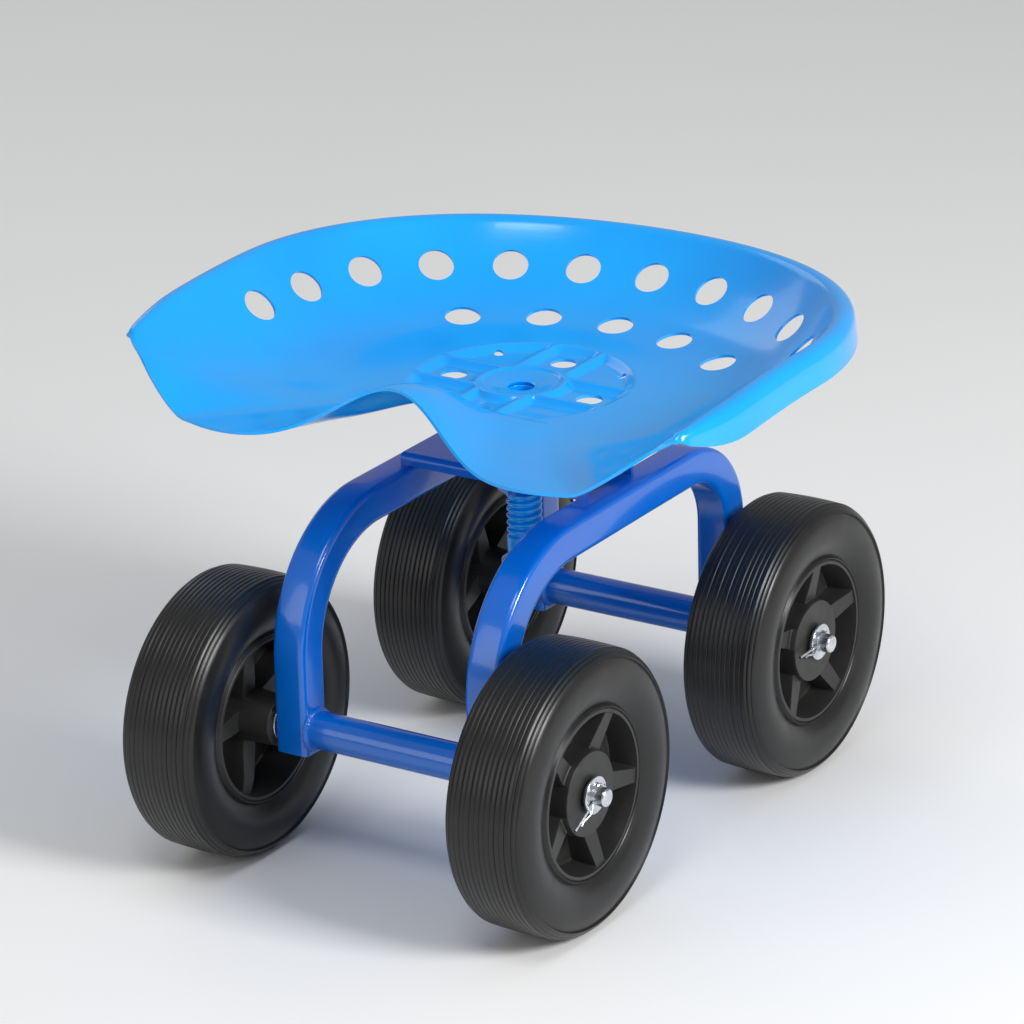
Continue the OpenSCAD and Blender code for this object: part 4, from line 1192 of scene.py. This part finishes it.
@dataclass
class Wheel:
    """A wide black wheel: grooved tyre, dished hub with five spokes on each face, and a nylon bush."""

    name: str
    side: int
    y: float
    turn: float
    x: float = 125.0
    z: float = 95.25
    radius: float = 95.25
    width: float = 59.0
    tread_share: float = 0.72
    grooves: int = 11
    groove_depth: float = 0.62
    wall_r: float = 30.0
    wall_middle: float = 76.0
    hub_r: float = 56.0
    rim_face: float = 25.37
    inner_face: float = 89.2
    bore: float = 9.0
    bush_bore: float = 6.4
    boss_r: float = 28.0
    boss_face: float = 23.01
    inner_boss_r: float = 16.8
    spokes: int = 5
    spoke_half: tuple = (7.0, 4.75)
    spoke_climb: float = 5.9
    spoke_run: float = 26.0
    mouth: tuple = (50.4, 53.2)

    def tyre_profile(self) -> Array:
        """Outline of the tyre in [radius, distance from the middle]: barrel, bulging sidewalls, two shoulder
        ridges and a slightly crowned tread with narrow shallow grooves."""
        r, edge = self.radius, self.tread_share * self.width / 2
        x = np.linspace(-edge, edge, 10 * self.grooves + 1)
        pitch = self.tread_share * self.width / (self.grooves + 0.6)
        near = np.abs(x / pitch - np.round(x / pitch)) * pitch
        tread = r - 0.7 * (x / edge) ** 2 - self.groove_depth * (1 - smooth(0.12, 0.62, near))
        shoulder = np.array([[1.05, 21.8], [1.9, 22.2], [2.15, 22.5], [1.85, 22.9], [1.75, 23.6], [2.2, 24.4],
                             [3.1, 24.9], [3.5, 25.2], [3.4, 25.6], [3.9, 26.4], [5.0, 27.3], [6.3, 28.0]])
        shoulder[:, 0] = r - shoulder[:, 0]
        wall = arc([self.width / 2 - self.wall_r, self.wall_middle], self.wall_r, 24, -64, 13)[:, ::-1]
        wall = wall[(wall[:, 0] < r - 7.0) & (wall[:, 0] > self.hub_r + 2.5)]
        lip = [[self.hub_r + 1.2, self.rim_face + 0.6], [self.hub_r + 0.3, self.rim_face + 0.1]]
        right = np.vstack([shoulder, wall, lip])
        barrel = [[self.hub_r + 0.02, self.rim_face - 1.0], [self.hub_r + 0.02, -self.rim_face + 1.0]]
        return np.vstack([right[::-1] * [1, -1], np.stack([tread, x], -1), right, barrel])

    def face(self, web: float, spoke: float, boss_r: float, boss: float, flip: int) -> Array:
        """One face of the hub as a height over a polar grid. Rows run from the bore to the barrel and columns
        follow the spokes' edges: the height is the spoke's or the web's by column, a cone rises to the rim,
        and the boss stands inside its radius.

        Args:
            web: height of the web.
            spoke: height of the spokes' top beside the boss.
            boss_r: radius of the boss.
            boss: height of the boss.
            flip: +1 on the outer face, -1 on the inner.
        Returns:
            Points shaped rows, columns, 3 with the height along Z.
        """
        r = np.concatenate([
            self.bore + np.array([0.02, 0.6]), np.linspace(self.bore + 2, boss_r - 1.6, 4),
            boss_r + np.array([-0.9, -0.5, -0.3, -0.12, 0.0, 0.1, 0.35, 0.8, 1.5]),
            np.linspace(boss_r + 2.6, 47, 8), np.linspace(48, 53.0, 12),
            [53.25, 53.5, 53.9, 54.6, 55.2, 55.6, 55.85, 55.98]])[:, None]
        half = mix(*self.spoke_half, np.clip((r - self.boss_r) / self.spoke_run, 0, 1))
        inside, beside = (0, 0.5, 0.85), (-0.4, -0.12, 0.0, 0.12, 0.5, 1.0, 1.3, 2.2)
        across = np.concatenate([half * k for k in inside] + [half + k for k in beside], 1)
        sector = math.pi / self.spokes
        angles = np.minimum(np.arcsin(np.clip(across / r, -0.99, 0.99)), sector * 0.9)
        rest = np.array([[0.12, 0.3, 0.5, 0.75, 1.0]])
        angles = np.concatenate([angles, angles[:, -1:] + (sector - angles[:, -1:]) * rest], 1)
        of_web = np.array([0, 0, 0, 0, 0.012, 0.045, 0.12, 0.5, 0.92, 0.98, 1, 1, 1, 1, 1, 1])
        angles = np.concatenate([-angles[:, ::-1][:, 1:-1], angles], 1)
        of_web = np.concatenate([of_web[::-1][1:-1], of_web])

        low, high = self.mouth
        web_z = mix(web, self.rim_face, 0.04 * smooth(48.5, 50.8, r) + 0.96 * np.clip((r - low) / (high - low), 0, 1))
        climb = np.clip((r - boss_r) / self.spoke_run, 0, 1)
        spoke_z = np.maximum(mix(spoke, spoke + self.spoke_climb, climb), web_z)
        z = mix(spoke_z, web_z, of_web) - 0.7 * smooth(55.1, 55.98, r)
        boss_z = (boss - 0.35 * smooth(boss_r - 0.55, boss_r, r) ** 2
                  - 0.5 * (1 - smooth(self.bore, self.bore + 0.8, r)))
        z = mix(z, boss_z, 1 - smooth(boss_r - 0.1, boss_r + 1.1, r))
        turned = np.concatenate([angles + 2 * sector * q for q in range(self.spokes)], 1) * flip
        return polar(r, turned, flip * np.tile(z, (1, self.spokes)))

    def hub(self) -> Surface:
        """The hub, closed: its outer face, then its inner face back, joined over the barrel and through the
        bore. The inner face's columns run the other way round, so they are put in the outer face's order."""
        outer = self.face(5.9, 18.3, self.boss_r, self.boss_face, 1)
        inner = self.face(-1.8, 12.5, self.inner_boss_r, self.x - self.inner_face, -1)[::-1]
        inner = inner[:, (-np.arange(outer.shape[1])) % outer.shape[1]]
        start = np.arctan2(outer[-1, 0, 1], outer[-1, 0, 0])
        apart = np.abs(np.angle(np.exp(1j * (np.arctan2(inner[0, :, 1], inner[0, :, 0]) - start))))
        return grid(np.concatenate([outer, np.roll(inner, -int(np.argmin(apart)), 1)]))

    def build(self, shop: Workshop) -> None:
        """Makes the wheel's three pieces.

        Args:
            shop: the workshop.
        """
        low, high = self.inner_face - self.x, self.rim_face
        bush = sleeve(self.bush_bore, self.bore, low, high, [0.4, 0.3, 0.3, 0.4], 2, 64)
        place = np.diag([float(self.side), 1, 1]) @ about_x(self.turn) @ ALONG_X
        for name, surface, slot, node, sharp in (
                ("grooved_tyre", revolve(self.tyre_profile(), 144), Slot.TYRE, "tyre", 60),
                ("spoked_hub", self.hub(), Slot.HUB, "hub", 42),
                ("nylon_bush", bush, Slot.BUSH, "bush", 38)):
            shop.piece(f"{name}_{self.name}", surface.moved(place, (self.side * self.x, self.y, self.z)), slot,
                       f"wheel_{self.name}", [f"{node}_{self.name}"], sharp)


# ---------------------------------------------------------------- axle rods, washers and clips


@dataclass
class AxleHardware:
    """Zinc-plated rods, washers and clips."""

    rod_r: float = 6.35
    rod_end: float = 161.37
    rod_dome: float = 2.2
    axle_y: float = 145.0
    axle_z: float = 95.25
    washer_r: float = 12.5
    washer_t: float = 1.8
    inner_x: float = 87.2
    outer_x: float = 150.57
    clip_x: float = 153.57
    wire_r: float = 0.9
    long_leg: float = 31.0
    legs_meet: float = 22.0
    hook_r: float = 2.2

    def clip_line(self) -> Array:
        """Middle line of a clip: the long straight leg through the rod, a small hook at its end, a bow at one
        side of the rod, and the short leg from the rod to the long one, turned up at its tip."""
        bow, hook = self.rod_r + self.wire_r + 0.2, self.hook_r
        meet = np.array([self.legs_meet, 2.0 * self.wire_r + 0.1])
        toward = math.degrees(math.atan2(meet[1], meet[0])) + math.degrees(math.acos(bow / math.hypot(*meet)))
        leave = bow * np.array([math.cos(math.radians(toward)), math.sin(math.radians(toward))])
        return np.vstack([
            [[self.long_leg, 0], [20.0, 0], [0, 0], [-bow - 1.5, 0]],
            arc([-bow - hook, hook], hook, 270, 110, 12), arc([0, 0], bow, 158, toward, 24),
            [0.5 * (meet + leave), meet, meet + [2.0, 1.1]]])

    def clip(self) -> Surface:
        """The wire along the clip's middle line, closed by flat ends."""
        line = self.clip_line()
        path, sides = np.column_stack([line, np.zeros(len(line))]), 14
        rows = carried(path, unit(np.gradient(path, axis=0)), circle(self.wire_r, sides), UP)
        wire, n = grid(rows, wrap_rows=False, flip=True), len(rows) * sides
        wire.faces += [tuple(range(sides)), tuple(range(n - 1, n - sides - 1, -1))]
        return wire

    def build(self, shop: Workshop) -> None:
        """Makes the axle hardware.

        Args:
            shop: the workshop.
        """
        body, dome = Body.FRAME.value, self.rod_dome
        rod = sleeve(0, self.rod_r, -self.rod_end, self.rod_end, [0, dome, dome, 0], 6, 64)
        for name, sign in (("front", -1), ("rear", 1)):
            at = (0, sign * self.axle_y, self.axle_z)
            shop.piece(f"axle_shaft_{name}", rod.moved(ALONG_X, at), Slot.ZINC, body, [f"axle_rod_{name}"])
        washer = sleeve(self.rod_r + 0.2, self.washer_r, 0, self.washer_t, [0.2, 0.5, 0.5, 0.2], 3, 72)
        wire = self.clip()
        ends = [(1, -1, 206.0), (1, 1, 180.0), (-1, -1, 20.0), (-1, 1, 340.0)]
        for name, node, x, sharp in (("axle_washers_inner", "inner_washers", self.inner_x, 38),
                                     ("axle_washers_outer", "outer_washers", self.outer_x, 38),
                                     ("hitch_clip_wires", "hairpin_clips", self.clip_x, 60)):
            made = []
            for side, y, turn in ends:
                at = (side * x, y * self.axle_y, self.axle_z)
                made.append(wire.moved(about_x(turn) @ ALONG_X, at) if name == "hitch_clip_wires"
                            else washer.moved(np.diag([float(side), 1, 1]) @ ALONG_X, at))
            shop.piece(name, made[0].joined(*made[1:]), Slot.ZINC, body, [node], sharp)


# ---------------------------------------------------------------- studio


@dataclass(frozen=True)
class Lamp:
    """A square soft lamp that faces the seat: place and side in metres, power in watts."""

    name: str
    place: tuple
    size: float
    power: float

    def build(self) -> None:
        """Hangs the lamp."""
        data = bpy.data.lights.new(self.name, "AREA")
        data.shape, data.size, data.energy = "SQUARE", self.size, self.power
        lamp = bpy.data.objects.new(self.name, data)
        lamp.location = self.place
        lamp.rotation_euler = (Vector((0, 0, 0.2)) - Vector(self.place)).to_track_quat("-Z", "Y").to_euler()
        bpy.context.scene.collection.objects.link(lamp)


@dataclass
class Studio:
    """Pale floor, soft lamps and the camera at the photograph's angle; angles in degrees, lengths in metres."""

    azimuth: float = 33.083
    elevation: float = 20.933
    roll: float = -1.501
    distance: float = 3.27201
    lens: float = 173.95
    aim: tuple = (0.0, 0.0, 0.2098)
    floor_half: float = 14.0
    room_level: float = 0.38
    room_seen: float = 0.92
    lamps: tuple = (Lamp("key", (2.8, -0.3, 1.8), 1.0, 84), Lamp("fill", (-1.2, -2.9, 1.3), 1.6, 12),
                    Lamp("top", (0.45, -1.45, 2.8), 0.9, 16), Lamp("back", (-2.6, 1.4, 1.9), 1.4, 6))

    def camera(self) -> None:
        """Sets the camera from its azimuth, elevation, roll and distance to the aim."""
        az, el, ro = (math.radians(v) for v in (self.azimuth, self.elevation, self.roll))
        right = np.array([math.cos(az), math.sin(az), 0])
        back = np.array([math.sin(az) * math.cos(el), -math.cos(az) * math.cos(el), math.sin(el)])
        up = np.cross(back, right)
        data = bpy.data.cameras.new("view")
        data.lens, data.sensor_width = self.lens, 36.0
        data.clip_start, data.clip_end = 0.05, 60.0
        camera = bpy.data.objects.new("view", data)
        place = Matrix.Identity(4)
        axes = (math.cos(ro) * right + math.sin(ro) * up, -math.sin(ro) * right + math.cos(ro) * up, back)
        for k, axis in enumerate(axes):
            place.col[k][0:3] = axis
        place.translation = Vector(np.array(self.aim) + self.distance * back)
        camera.matrix_world = place
        bpy.context.scene.collection.objects.link(camera)
        bpy.context.scene.camera = camera

    def floor(self) -> None:
        """Lays the pale floor."""
        mesh, s = bpy.data.meshes.new("floor"), self.floor_half
        mesh.from_pydata([(-s, -s, 0), (s, -s, 0), (s, s, 0), (-s, s, 0)], [], [(0, 1, 2, 3)])
        floor = bpy.data.objects.new("floor", mesh)
        bpy.context.scene.collection.objects.link(floor)
        pale = Nodes("pale_floor")
        pale.colour(pale.noise(2.0, 2.0), 0.0, 1.0, (0.90, 0.90, 0.895), (0.94, 0.94, 0.935))
        pale.set(Roughness=0.85)
        mesh.materials.append(pale.material)

    def room(self) -> None:
        """Fills the world with soft light, paler where the camera sees it."""
        world = bpy.data.worlds.new("soft_room")
        bpy.context.scene.world = world
        world.use_nodes = True
        tree = world.node_tree
        level = tree.nodes.new("ShaderNodeMapRange")
        tree.links.new(tree.nodes.new("ShaderNodeLightPath").outputs["Is Camera Ray"], level.inputs[0])
        level.inputs[3].default_value, level.inputs[4].default_value = self.room_level, self.room_seen
        background = tree.nodes["Background"]
        background.inputs[0].default_value = (0.97, 0.98, 1.0, 1)
        tree.links.new(level.outputs[0], background.inputs[1])
        bpy.context.scene.view_settings.view_transform = "Standard"

    def build(self) -> None:
        """Makes the whole studio."""
        self.camera()
        self.floor()
        for lamp in self.lamps:
            lamp.build()
        self.room()


def main() -> None:
    logging.basicConfig(level=logging.INFO, format="%(name)s %(message)s")
    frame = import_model()
    shop = Workshop(frame)
    Studio().build()
    wheels = [Wheel("front_right", 1, -145.0, -8.0), Wheel("rear_right", 1, 145.0, 16.0),
              Wheel("front_left", -1, -145.0, 32.0), Wheel("rear_left", -1, 145.0, -24.0)]
    for part in (Chassis(), *wheels, AxleHardware(), LiftScrew(), SeatPan()):
        part.build(shop)


if __name__ == "__main__":
    main()
